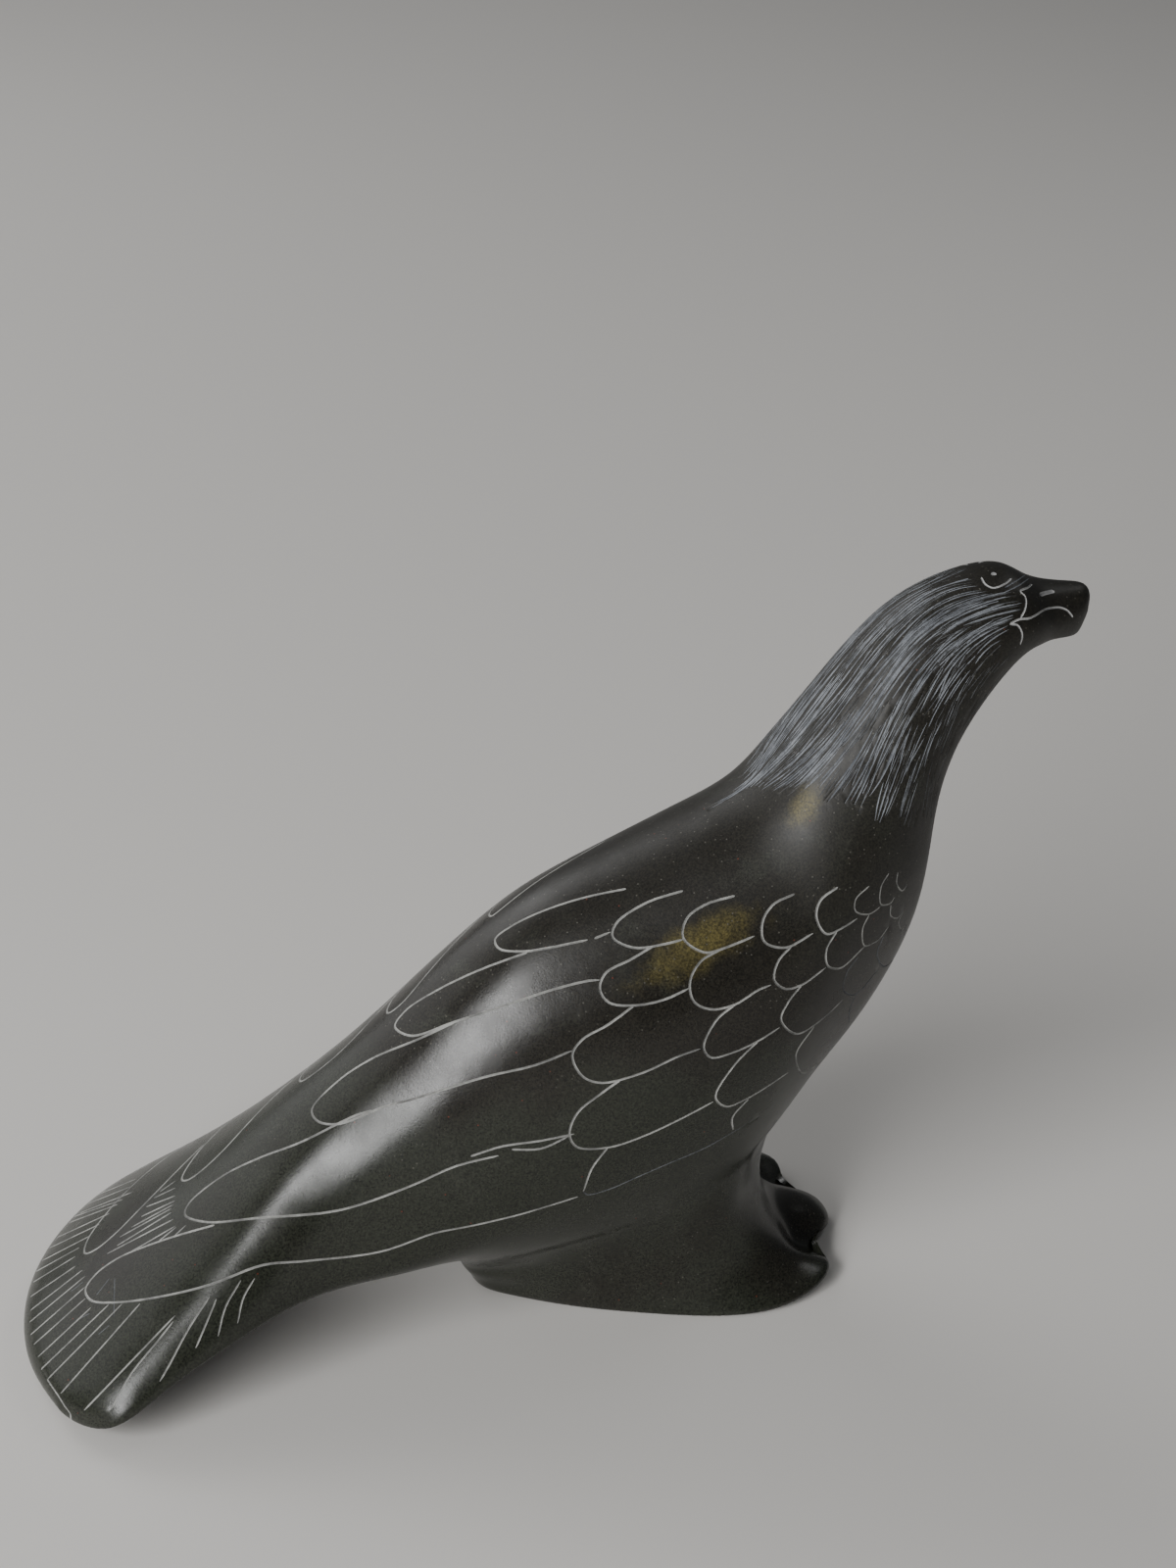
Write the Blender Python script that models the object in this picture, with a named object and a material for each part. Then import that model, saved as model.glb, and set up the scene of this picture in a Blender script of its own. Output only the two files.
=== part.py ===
"""A bird figurine carved from one block of stone, together with the plinth it stands on.

The bird looks along +X and +Z is up. The origin lies under the middle of the carving, on
the plane that the plinth and the tail rest on. The carving is a free form, so its pose and
proportions are shares of its own length: a share is LENGTH / SHARES, close to a millimetre
on this bird, and x counts shares forward of the tail tip.
"""
import math

import bmesh
import bpy

LENGTH = 0.200                 # tail tip to beak tip, metres
SHARES = 200.2                 # how many shares the length is cut into

NEARLY_NOTHING = 0.000001      # metres; a point this low lies on the ground
SIDES = 12                     # control points round the body
SUBDIVISION = 2                # rounds of smoothing between the control points
SETTLING_ROUNDS = 8            # passes that bring the smooth skin onto the control points
ROUNDNESS = 2.15               # 2 gives elliptical flanks above the widest line, more fuller ones
UNDER_DEPTH = 0.3125           # from the lower edge to the belly, how far down the hollow lies
UNDER_WIDTH = 0.55             # and its half width as a share of the lower edge's

TOE_ROOT = 141.0               # toes start this far forward of the tail tip, in shares
TOE_TIP = 148.0                # and stand out fully from here on, in shares
TOE_HEIGHT = 10.0              # the notches between the toes run out at this height, in shares
TOE_PITCH = 20.0               # from one toe to the next, in shares
TOE_DEPTH = 3.0                # depth of the notches between the toes, in shares
TOE_FULLNESS = 2.0             # more than 1 makes the toes broader than the notches

STONE_COLOUR = (0.028, 0.031, 0.027, 1.0)
STONE_ROUGHNESS = 0.33

# The rings of the body from the tail to the beak, in shares. Each row gives the point on the
# back (x, z), the point on the belly (x, z), the widest line as (how far down the ring, half
# width), the lower edge of the wing or tail as (how far down, half width), and how far the
# flanks of the ring lie forward of its middle.
RINGS = (
    ((0.0, 5.8), (0.4, 0.7), (0.35, 24.0), (0.70, 22.5), 6.0, 0.0),
    ((6.0, 10.9), (6.5, 0.5), (0.45, 30.6), (0.68, 29.2), 7.0, 0.4),
    ((18.0, 19.4), (18.0, 3.8), (0.49, 30.2), (0.68, 28.2), 6.0, 1.2),
    ((33.0, 30.2), (34.0, 8.6), (0.58, 26.3), (0.72, 24.4), 4.5, 1.1),
    ((49.0, 43.2), (50.0, 11.6), (0.68, 21.8), (0.82, 20.0), 2.5, 1.0),
    ((64.0, 55.6), (66.0, 12.4), (0.71, 21.2), (0.87, 18.2), 1.0, 0.4),
    ((79.0, 69.2), (78.6, 10.8), (0.68, 22.0), (0.87, 17.4), 0.0, 0.0),
    ((95.0, 82.0), (96.0, 12.0), (0.62, 23.8), (0.86, 19.6), 0.0, 0.0),
    ((111.0, 89.4), (113.0, 16.0), (0.55, 25.4), (0.84, 21.4), 0.0, 0.0),
    ((126.0, 95.6), (131.0, 24.0), (0.52, 25.4), (0.84, 20.4), 0.0, 0.0),
    ((136.5, 101.0), (147.4, 36.4), (0.50, 23.6), (0.84, 16.0), 0.0, 0.0),
    ((143.0, 108.3), (158.5, 51.0), (0.48, 21.2), (0.85, 14.2), 0.0, 0.0),
    ((149.0, 116.6), (169.6, 69.5), (0.48, 18.2), (0.82, 12.2), 0.0, 0.0),
    ((156.0, 125.7), (172.2, 90.0), (0.50, 15.2), (0.80, 11.0), 0.0, 0.0),
    ((164.0, 133.4), (176.0, 106.6), (0.54, 13.0), (0.80, 10.0), 0.0, 0.0),
    ((173.3, 137.5), (184.4, 120.8), (0.56, 11.4), (0.84, 8.4), 0.0, 0.0),
    ((182.5, 138.9), (189.3, 123.7), (0.58, 9.4), (0.85, 6.6), 0.0, 0.0),
    ((188.3, 136.2), (192.4, 124.0), (0.56, 6.6), (0.84, 4.8), 0.0, 0.0),
    ((195.5, 134.5), (196.4, 124.0), (0.52, 4.8), (0.84, 3.4), -0.6, 0.0),
    ((199.6, 132.6), (198.4, 126.0), (0.50, 3.0), (0.82, 2.2), -0.8, 0.0),
)
EDGE_SIDE = 4                  # the control point that runs along the lower edge
PLINTH_REAR_RING = 6           # the plinth grows out of the belly between these rings
PLINTH_FRONT_RING = 10

# The loops of the plinth, top to bottom, in shares: from the middle of its rear, round one
# flank, to the middle of its front, as (x, half width, height).
PLINTH_LOOPS = (
    ((79.7, 0.0, 8.7), (80.5, 7.2, 11.4), (82.8, 13.4, 13.8), (97.4, 16.8, 17.2),
     (113.0, 19.2, 21.6), (128.2, 18.8, 26.8), (138.4, 14.0, 33.6), (141.6, 7.8, 31.4),
     (143.4, 0.0, 29.4)),
    ((81.0, 0.0, 6.8), (82.2, 5.4, 7.4), (86.6, 10.2, 9.8), (98.8, 15.2, 13.0),
     (113.5, 18.2, 16.0), (127.0, 19.0, 18.0), (134.2, 15.2, 20.4), (139.6, 8.0, 20.6),
     (141.2, 0.0, 20.8)),
    ((82.0, 0.0, 4.6), (83.2, 5.0, 5.0), (87.6, 9.2, 6.6), (99.4, 14.4, 8.8),
     (113.8, 18.0, 10.4), (128.4, 20.0, 10.6), (138.8, 16.6, 10.8), (142.4, 9.0, 10.0),
     (144.0, 0.0, 10.0)),
    ((83.2, 0.0, 2.6), (84.4, 4.6, 2.8), (88.8, 8.4, 3.6), (100.0, 14.2, 4.6),
     (114.4, 18.8, 5.2), (132.0, 22.4, 4.4), (144.2, 18.2, 5.4), (149.0, 10.0, 5.6),
     (152.0, 0.0, 6.0)),
    ((84.0, 0.0, 0.9), (85.2, 4.2, 0.9), (89.4, 7.8, 0.9), (100.4, 13.8, 0.9),
     (114.6, 19.4, 0.9), (134.4, 24.5, 1.2), (149.2, 20.4, 3.0), (153.8, 10.6, 2.6),
     (156.8, 0.0, 2.2)),
    ((84.6, 0.0, 0.0), (85.8, 3.8, 0.0), (90.0, 7.2, 0.0), (100.8, 13.2, 0.0),
     (114.6, 18.8, 0.0), (134.0, 23.9, 0.0), (146.8, 19.6, 0.0), (151.6, 10.2, 0.0),
     (155.0, 0.0, 0.0)),
)


def share(value):
    """A share of the carving's length, in metres."""
    return value * LENGTH / SHARES


def ring_points(ring):
    """The control points of one ring, from the back round the bird's right side."""
    back, belly, widest, edge, bow, sway = ring
    half = SIDES // 2

    def across(down, width):
        x = back[0] + (belly[0] - back[0]) * down
        z = back[1] + (belly[1] - back[1]) * down
        lean = bow * (width / widest[1]) ** 2
        return (x + lean, width, z)

    right = [across(0.0, 0.0)]
    for side in range(1, half // 2):
        turn = math.pi * side / half
        width = widest[1] * math.sin(turn) ** (2 / ROUNDNESS)
        down = widest[0] * (1 - math.cos(turn) ** (2 / ROUNDNESS))
        right.append(across(down, width))
    right.append(across(*widest))
    right.append(across(*edge))
    hollow = edge[0] + (1 - edge[0]) * UNDER_DEPTH
    right.append(across(hollow, edge[1] * UNDER_WIDTH))
    belly_point = across(1.0, 0.0)
    left = right[1:]
    points = [(x, -y, z) for x, y, z in right] + [belly_point]
    points += [(x, y, z) for x, y, z in reversed(left)]
    return [(x, y + sway, z) for x, y, z in points]


def mirrored_loop(loop):
    """A full plinth loop from its half: rear middle, right flank, front middle, left flank."""
    right = [(x, -y, z) for x, y, z in loop]
    left = [(x, y, z) for x, y, z in reversed(loop[1:-1])]
    return right + left


def build_cage():
    """The control cage: rings joined into a tube, closed ends, and the plinth's loops."""
    cage = bmesh.new()

    def add(point):
        return cage.verts.new([share(value) for value in point])

    rings = []
    for index, ring in enumerate(RINGS):
        row = []
        for side, point in enumerate(ring_points(ring)):
            under = PLINTH_REAR_RING < index < PLINTH_FRONT_RING
            hidden = under and EDGE_SIDE < side < SIDES - EDGE_SIDE
            row.append(None if hidden else add(point))
        rings.append(row)

    for index, (rear, front) in enumerate(zip(rings[:-1], rings[1:])):
        over_plinth = PLINTH_REAR_RING <= index < PLINTH_FRONT_RING
        for side in range(SIDES):
            following = (side + 1) % SIDES
            if over_plinth and EDGE_SIDE <= side < SIDES - EDGE_SIDE:
                continue
            cage.faces.new((rear[side], rear[following], front[following], front[side]))

    close_end(cage, rings[0], False)
    close_end(cage, rings[-1], True)

    far_edge = SIDES - EDGE_SIDE
    between = range(PLINTH_REAR_RING + 1, PLINTH_FRONT_RING)
    half = SIDES // 2
    rear_row, front_row = rings[PLINTH_REAR_RING], rings[PLINTH_FRONT_RING]
    upper = [rear_row[side] for side in range(half, EDGE_SIDE, -1)]
    upper += [rings[index][EDGE_SIDE] for index in (PLINTH_REAR_RING, *between)]
    upper += [front_row[side] for side in range(EDGE_SIDE, far_edge + 1)]
    upper += [rings[index][far_edge] for index in reversed(between)]
    upper += [rear_row[side] for side in range(far_edge, half, -1)]
    for loop in PLINTH_LOOPS:
        lower = [add(point) for point in mirrored_loop(loop)]
        for index in range(len(lower)):
            following = (index + 1) % len(lower)
            cage.faces.new((upper[index], upper[following], lower[following], lower[index]))
        upper = lower
    close_underside(cage, upper)
    bmesh.ops.recalc_face_normals(cage, faces=cage.faces)
    return cage


def close_end(cage, ring, front):
    """Closes a ring with strips that join its upper points to its lower ones."""
    half, quarter = SIDES // 2, SIDES // 4
    for upper in range(-quarter, quarter):
        corners = [ring[upper % SIDES], ring[(upper + 1) % SIDES],
                   ring[(half - upper - 1) % SIDES], ring[(half - upper) % SIDES]]
        unique = list(dict.fromkeys(corners))
        cage.faces.new(unique if front else reversed(unique))


def close_underside(cage, loop):
    """Fills the flat underside with a grid of four by four faces, and keeps its edge sharp."""
    width = SIDES - 2 * EDGE_SIDE
    right = loop[width // 2:-width // 2 + 1][:PLINTH_FRONT_RING - PLINTH_REAR_RING + 1]
    left = list(reversed(loop))[width // 2 - 1:][:len(right)]
    rear = [loop[index] for index in range(width // 2, -width // 2 - 1, -1)]
    front_start = width // 2 + len(right) - 1
    front = [loop[front_start + index] for index in range(width + 1)]
    grid = [rear]
    for row in range(1, len(right) - 1):
        share_forward = row / (len(right) - 1)
        line = [right[row]]
        for column in range(1, width):
            across = column / width
            ends = right[row].co.lerp(left[row].co, across)
            spine = rear[column].co.lerp(front[column].co, share_forward)
            line.append(cage.verts.new((ends + spine) / 2))
        line.append(left[row])
        grid.append(line)
    grid.append(front)
    for near, far in zip(grid[:-1], grid[1:]):
        for column in range(width):
            cage.faces.new((near[column], far[column], far[column + 1], near[column + 1]))
    crease = cage.edges.layers.float.new("crease_edge")
    for index, vertex in enumerate(loop):
        following = loop[(index + 1) % len(loop)]
        cage.edges.get((vertex, following))[crease] = 1.0


def smooth_object(name, cage):
    """An object whose Subdivision Surface skin passes through the cage's own points."""
    mesh = bpy.data.meshes.new(name)
    cage.to_mesh(mesh)
    thing = bpy.data.objects.new(name, mesh)
    bpy.context.scene.collection.objects.link(thing)
    smoothing = thing.modifiers.new("smooth skin", "SUBSURF")
    smoothing.levels = SUBDIVISION
    smoothing.render_levels = SUBDIVISION
    wanted = [vertex.co.copy() for vertex in mesh.vertices]
    for _ in range(SETTLING_ROUNDS):
        skin = evaluated_copy(thing)
        for vertex, goal in zip(mesh.vertices, wanted):
            vertex.co += goal - skin.vertices[vertex.index].co
        mesh.update()
        thing.update_tag()
        bpy.data.meshes.remove(skin)
    return thing


def evaluated_copy(thing):
    """A new mesh with the object's modifiers applied."""
    depsgraph = bpy.context.evaluated_depsgraph_get()
    depsgraph.update()
    return bpy.data.meshes.new_from_object(thing.evaluated_get(depsgraph))


def carve_toes(mesh):
    """Cuts a notch on each side of the middle toe into the front of the plinth."""
    offsets = []
    for vertex in mesh.vertices:
        turn = 2 * math.pi * vertex.co.y / share(TOE_PITCH)
        notch = ((1 - math.cos(turn)) / 2) ** TOE_FULLNESS
        offset = vertex.normal * share(-TOE_DEPTH * notch * toe_share(vertex.co))
        if vertex.co.z < NEARLY_NOTHING:
            offset.z = 0.0
        offsets.append(offset)
    for vertex, offset in zip(mesh.vertices, offsets):
        vertex.co += offset
    mesh.update()


def grind_flat(mesh):
    """Grinds the plinth and the tail tip flat where they rest, and centres the carving."""
    block = bmesh.new()
    block.from_mesh(mesh)
    for vertex in block.verts:
        vertex.co.z = max(vertex.co.z, 0.0)
    resting = [face for face in block.faces
               if all(vertex.co.z < NEARLY_NOTHING for vertex in face.verts)]
    bmesh.ops.dissolve_faces(block, faces=resting)
    rear = min(vertex.co.x for vertex in block.verts)
    front = max(vertex.co.x for vertex in block.verts)
    right = min(vertex.co.y for vertex in block.verts)
    left = max(vertex.co.y for vertex in block.verts)
    middle = ((rear + front) / 2, (right + left) / 2)
    bmesh.ops.translate(block, verts=block.verts, vec=(-middle[0], -middle[1], 0.0))
    block.to_mesh(mesh)
    block.free()
    mesh.update()


def toe_share(spot):
    """How far a point belongs to the toes: 0 on the body and flanks, 1 at the toes' tips."""
    forward = smooth_step((spot.x - share(TOE_ROOT)) / share(TOE_TIP - TOE_ROOT))
    low = 1 - smooth_step((spot.z - share(TOE_HEIGHT / 2)) / share(TOE_HEIGHT / 2))
    return forward * low


def smooth_step(value):
    """Rises smoothly from 0 to 1 as the value does."""
    value = min(max(value, 0.0), 1.0)
    return value * value * (3 - 2 * value)


def stone_material():
    """Dark green-grey stone, rubbed to a soft polish."""
    stone = bpy.data.materials.new("polished_stone")
    stone.use_nodes = True
    shader = stone.node_tree.nodes["Principled BSDF"]
    shader.inputs["Base Color"].default_value = STONE_COLOUR
    shader.inputs["Roughness"].default_value = STONE_ROUGHNESS
    shader.inputs["Metallic"].default_value = 0.0
    return stone


def build_bird():
    """The whole carving as one object."""
    bird = smooth_object("stone_bird", build_cage())
    carved = evaluated_copy(bird)
    cage_mesh = bird.data
    bird.modifiers.clear()
    bird.data = carved
    bpy.data.meshes.remove(cage_mesh)
    carved.name = "stone_bird"
    carve_toes(carved)
    grind_flat(carved)
    carved.materials.append(stone_material())
    carved.shade_smooth()
    return bird


for leftover in list(bpy.data.objects):
    bpy.data.objects.remove(leftover, do_unlink=True)
build_bird()
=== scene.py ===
"""The stone bird figurine, dressed for its picture.

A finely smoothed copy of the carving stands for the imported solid. Its skin is meshed again
so that the feather lines, the hair of the neck, the eye and the lines of the beak run along
its edges, and each line is a real groove.
"""
import math
import random

import bmesh
import bpy
import numpy as np
from mathutils import Euler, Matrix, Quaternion, Vector
from mathutils.bvhtree import BVHTree
from mathutils.geometry import delaunay_2d_cdt
from mathutils.kdtree import KDTree


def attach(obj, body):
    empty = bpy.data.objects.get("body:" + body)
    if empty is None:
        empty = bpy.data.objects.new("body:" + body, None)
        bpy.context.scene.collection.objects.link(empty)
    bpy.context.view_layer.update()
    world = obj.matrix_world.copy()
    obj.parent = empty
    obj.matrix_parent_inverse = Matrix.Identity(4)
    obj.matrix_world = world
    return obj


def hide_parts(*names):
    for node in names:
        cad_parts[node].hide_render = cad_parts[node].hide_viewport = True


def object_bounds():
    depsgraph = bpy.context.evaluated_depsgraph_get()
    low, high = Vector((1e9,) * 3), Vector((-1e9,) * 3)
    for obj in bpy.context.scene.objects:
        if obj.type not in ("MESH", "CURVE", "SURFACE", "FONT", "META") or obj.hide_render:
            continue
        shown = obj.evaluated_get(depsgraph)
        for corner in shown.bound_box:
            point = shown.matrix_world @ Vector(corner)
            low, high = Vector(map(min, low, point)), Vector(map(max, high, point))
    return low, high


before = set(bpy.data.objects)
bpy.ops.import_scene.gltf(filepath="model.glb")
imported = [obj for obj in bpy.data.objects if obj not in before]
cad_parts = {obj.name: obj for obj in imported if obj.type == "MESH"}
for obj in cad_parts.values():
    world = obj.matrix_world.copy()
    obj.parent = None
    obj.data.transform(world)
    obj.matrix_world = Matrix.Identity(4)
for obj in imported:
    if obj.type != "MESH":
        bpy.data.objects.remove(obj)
CAD_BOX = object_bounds()

# The carving, with the same driving values as its solid.
LENGTH = 0.200  # tail tip to beak tip, metres
SHARES = 200.2  # how many shares the length is cut into
SIDES = 12  # control points round the body
SETTLING_LEVEL = 2  # rounds of smoothing while the skin settles onto its points
SETTLING_ROUNDS = 8
FINE_LEVEL = 3  # rounds of smoothing in the finished skin
ROUNDNESS = 2.15  # 2 gives elliptical flanks above the widest line
UNDER_DEPTH = 0.3125  # from the lower edge to the belly, how far down the hollow lies
UNDER_WIDTH = 0.55  # and its half width as a share of the lower edge's
TOE_ROOT = 141.0  # toes start this far forward of the tail tip, in shares
TOE_TIP = 148.0  # and stand out fully from here on, in shares
TOE_HEIGHT = 10.0  # the notches between the toes run out at this height, in shares
TOE_PITCH = 20.0  # from one toe to the next, in shares
TOE_DEPTH = 3.0  # depth of the notches between the toes, in shares
TOE_FULLNESS = 2.0  # more than 1 makes the toes broader than the notches
# Rings from tail to beak, in shares of the length: the back's and the belly's (x, z), where
# the widest line and the lower edge run as (share of the way down, half width), how far the
# flanks bow forward, and how far the ring sways to the left.
RINGS = (
    ((0.0, 5.8), (0.4, 0.7), (0.35, 24.0), (0.70, 22.5), 6.0, 0.0),
    ((6.0, 10.9), (6.5, 0.5), (0.45, 30.6), (0.68, 29.2), 7.0, 0.4),
    ((18.0, 19.4), (18.0, 3.8), (0.49, 30.2), (0.68, 28.2), 6.0, 1.2),
    ((33.0, 30.2), (34.0, 8.6), (0.58, 26.3), (0.72, 24.4), 4.5, 1.1),
    ((49.0, 43.2), (50.0, 11.6), (0.68, 21.8), (0.82, 20.0), 2.5, 1.0),
    ((64.0, 55.6), (66.0, 12.4), (0.71, 21.2), (0.87, 18.2), 1.0, 0.4),
    ((79.0, 69.2), (78.6, 10.8), (0.68, 22.0), (0.87, 17.4), 0.0, 0.0),
    ((95.0, 82.0), (96.0, 12.0), (0.62, 23.8), (0.86, 19.6), 0.0, 0.0),
    ((111.0, 89.4), (113.0, 16.0), (0.55, 25.4), (0.84, 21.4), 0.0, 0.0),
    ((126.0, 95.6), (131.0, 24.0), (0.52, 25.4), (0.84, 20.4), 0.0, 0.0),
    ((136.5, 101.0), (147.4, 36.4), (0.50, 23.6), (0.84, 16.0), 0.0, 0.0),
    ((143.0, 108.3), (158.5, 51.0), (0.48, 21.2), (0.85, 14.2), 0.0, 0.0),
    ((149.0, 116.6), (169.6, 69.5), (0.48, 18.2), (0.82, 12.2), 0.0, 0.0),
    ((156.0, 125.7), (172.2, 90.0), (0.50, 15.2), (0.80, 11.0), 0.0, 0.0),
    ((164.0, 133.4), (176.0, 106.6), (0.54, 13.0), (0.80, 10.0), 0.0, 0.0),
    ((173.3, 137.5), (184.4, 120.8), (0.56, 11.4), (0.84, 8.4), 0.0, 0.0),
    ((182.5, 138.9), (189.3, 123.7), (0.58, 9.4), (0.85, 6.6), 0.0, 0.0),
    ((188.3, 136.2), (192.4, 124.0), (0.56, 6.6), (0.84, 4.8), 0.0, 0.0),
    ((195.5, 134.5), (196.4, 124.0), (0.52, 4.8), (0.84, 3.4), -0.6, 0.0),
    ((199.6, 132.6), (198.4, 126.0), (0.50, 3.0), (0.82, 2.2), -0.8, 0.0),
)
EDGE_SIDE = 4  # the control point that runs along the lower edge
PLINTH_REAR_RING = 6  # the plinth grows out of the belly between these rings
PLINTH_FRONT_RING = 10
# Half loops of the plinth from the belly down to the ground, from its rear to its front.
PLINTH_LOOPS = (
    ((79.7, 0.0, 8.7), (80.5, 7.2, 11.4), (82.8, 13.4, 13.8), (97.4, 16.8, 17.2),
     (113.0, 19.2, 21.6), (128.2, 18.8, 26.8), (138.4, 14.0, 33.6), (141.6, 7.8, 31.4),
     (143.4, 0.0, 29.4)),
    ((81.0, 0.0, 6.8), (82.2, 5.4, 7.4), (86.6, 10.2, 9.8), (98.8, 15.2, 13.0),
     (113.5, 18.2, 16.0), (127.0, 19.0, 18.0), (134.2, 15.2, 20.4), (139.6, 8.0, 20.6),
     (141.2, 0.0, 20.8)),
    ((82.0, 0.0, 4.6), (83.2, 5.0, 5.0), (87.6, 9.2, 6.6), (99.4, 14.4, 8.8),
     (113.8, 18.0, 10.4), (128.4, 20.0, 10.6), (138.8, 16.6, 10.8), (142.4, 9.0, 10.0),
     (144.0, 0.0, 10.0)),
    ((83.2, 0.0, 2.6), (84.4, 4.6, 2.8), (88.8, 8.4, 3.6), (100.0, 14.2, 4.6),
     (114.4, 18.8, 5.2), (132.0, 22.4, 4.4), (144.2, 18.2, 5.4), (149.0, 10.0, 5.6),
     (152.0, 0.0, 6.0)),
    ((84.0, 0.0, 0.9), (85.2, 4.2, 0.9), (89.4, 7.8, 0.9), (100.4, 13.8, 0.9),
     (114.6, 19.4, 0.9), (134.4, 24.5, 1.2), (149.2, 20.4, 3.0), (153.8, 10.6, 2.6),
     (156.8, 0.0, 2.2)),
    ((84.6, 0.0, 0.0), (85.8, 3.8, 0.0), (90.0, 7.2, 0.0), (100.8, 13.2, 0.0),
     (114.6, 18.8, 0.0), (134.0, 23.9, 0.0), (146.8, 19.6, 0.0), (151.6, 10.2, 0.0),
     (155.0, 0.0, 0.0)),
)

# The photograph's frame and the camera, in pixels and metres.
PHOTO_WIDTH, PHOTO_HEIGHT = 1200, 1600
CAMERA_PLACE = (-0.0801, -0.3543, 0.2988)
CAMERA_TILT = math.radians(62.0)
CAMERA_TURN = math.radians(-14.0)
LENS = 54.0  # millimetres, on a 36 mm sensor
SENSOR = 36.0
FOCAL_PIXELS = LENS / SENSOR * PHOTO_HEIGHT

# The engraved lines, as points of the photograph that lie on the near flank.
FEATHERS = (
    ((697, 909), (660, 921), (629, 942), (625, 956), (646, 967), (680, 963), (699, 958)),
    ((750, 914), (720, 923), (701, 937), (697, 957), (719, 972), (743, 966), (770, 955)),
    ((811, 912), (789, 923), (778, 941), (780, 961), (801, 967), (830, 952)),
    ((855, 905), (837, 919), (833, 936), (843, 953), (861, 946), (875, 937)),
    ((887, 904), (873, 918), (873, 930), (886, 933), (900, 924)),
    ((907, 891), (899, 905), (899, 923), (908, 922), (913, 915)),
    ((916, 890), (915, 902), (920, 909), (926, 903)),
    ((667, 965), (644, 979), (618, 993), (612, 1009), (621, 1023), (648, 1026), (678, 1020),
     (704, 1008)),
    ((735, 969), (715, 981), (704, 1002), (708, 1022), (725, 1030), (750, 1025), (774, 1010),
     (787, 1005)),
    ((808, 965), (794, 981), (790, 1000), (801, 1009), (818, 1005), (843, 987)),
    ((854, 950), (843, 970), (845, 986), (857, 988), (882, 966)),
    ((887, 933), (880, 949), (882, 965), (895, 960), (907, 945)),
    ((909, 923), (909, 935), (915, 937), (922, 929)),
    ((922, 929), (917, 942), (920, 949), (925, 943)),
    ((647, 1026), (620, 1046), (594, 1061), (584, 1077), (594, 1098), (613, 1105), (655, 1095),
     (692, 1078), (715, 1070)),
    ((750, 1025), (731, 1041), (718, 1069), (725, 1079), (748, 1074), (774, 1062), (796, 1048)),
    ((818, 1005), (804, 1023), (797, 1041), (812, 1055), (840, 1039), (860, 1020)),
    ((876, 976), (864, 993), (861, 1011), (872, 1015), (896, 989)),
    ((902, 954), (895, 975), (902, 986), (914, 977)),
    ((633, 1102), (609, 1119), (589, 1136), (581, 1157), (588, 1170), (620, 1171), (655, 1160),
     (694, 1142), (728, 1124)),
    ((774, 1062), (750, 1086), (730, 1120), (740, 1129), (764, 1120), (805, 1094)),
    ((831, 1047), (812, 1077), (818, 1095), (835, 1085), (854, 1067)),
    ((873, 1016), (867, 1030), (866, 1044)),
    ((620, 1171), (604, 1192), (595, 1216)),
    ((764, 1121), (747, 1141), (748, 1153)),
)
PRIMARIES = (
    ((639, 907), (600, 915), (561, 927), (522, 945), (505, 959), (509, 968), (533, 971),
     (561, 967), (600, 959)),
    ((606, 958), (623, 951)),
    ((538, 972), (489, 990), (445, 1011), (413, 1032), (403, 1048), (419, 1057), (463, 1043),
     (515, 1026), (567, 1009), (600, 1001), (612, 1000)),
    ((464, 1043), (428, 1060), (380, 1080), (345, 1103), (318, 1133), (324, 1144), (345, 1147),
     (393, 1129), (420, 1122), (495, 1099), (546, 1087), (584, 1072)),
    ((380, 1133), (361, 1139), (306, 1166), (266, 1181), (227, 1200), (192, 1229), (189, 1240),
     (210, 1247), (262, 1243), (346, 1235), (417, 1211), (465, 1190), (509, 1179)),
    ((219, 1250), (177, 1262), (148, 1272), (120, 1284), (97, 1301), (87, 1317), (93, 1327),
     (118, 1329), (164, 1323), (214, 1311), (268, 1291), (310, 1287), (389, 1277), (444, 1258),
     (480, 1251), (531, 1239), (590, 1221)),
    ((480, 1180), (511, 1170), (552, 1164), (586, 1157)),
    ((522, 1173), (552, 1172), (581, 1159)),
)
SMALL_FROM_X = 870  # scallops that start right of this pixel are small
FAINT_FROM_Y = 945  # and below this one they are faint too
WING_EDGE = ((595, 1216), (599, 1219), (623, 1213), (646, 1203), (685, 1186), (720, 1171),
             (750, 1154), (775, 1139))
TAIL_STROKES = (
    ((100, 1219), (139, 1203)), ((83, 1231), (133, 1211)), ((81, 1238), (136, 1216)),
    ((63, 1246), (125, 1224)), ((51, 1255), (120, 1229)), ((47, 1268), (112, 1238)),
    ((41, 1278), (102, 1249)), ((38, 1289), (92, 1261)), ((34, 1299), (81, 1273)),
    ((33, 1309), (77, 1282)), ((30, 1324), (77, 1292)), ((30, 1338), (84, 1296)),
    ((28, 1351), (87, 1302)), ((28, 1365), (87, 1313)), ((29, 1377), (87, 1325)),
    ((31, 1392), (93, 1334)), ((38, 1401), (111, 1331)), ((45, 1411), (125, 1330)),
    ((61, 1423), (143, 1330)), ((85, 1440), (179, 1342)),
    ((112, 1440), (133, 1403), (162, 1367), (177, 1348)),
    ((162, 1411), (171, 1396), (193, 1355), (214, 1323)),
    ((199, 1377), (206, 1361), (221, 1325)), ((222, 1365), (230, 1334), (246, 1306)),
    ((242, 1352), (248, 1325), (260, 1304)),
    ((162, 1217), (179, 1205)), ((156, 1223), (179, 1212)), ((148, 1232), (179, 1220)),
    ((143, 1242), (179, 1225)), ((133, 1253), (177, 1229)), ((121, 1263), (175, 1233)),
    ((118, 1272), (175, 1237)), ((108, 1280), (177, 1244)), ((129, 1280), (179, 1251)),
    ((160, 1268), (180, 1252)), ((177, 1262), (190, 1250)),
)
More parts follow.
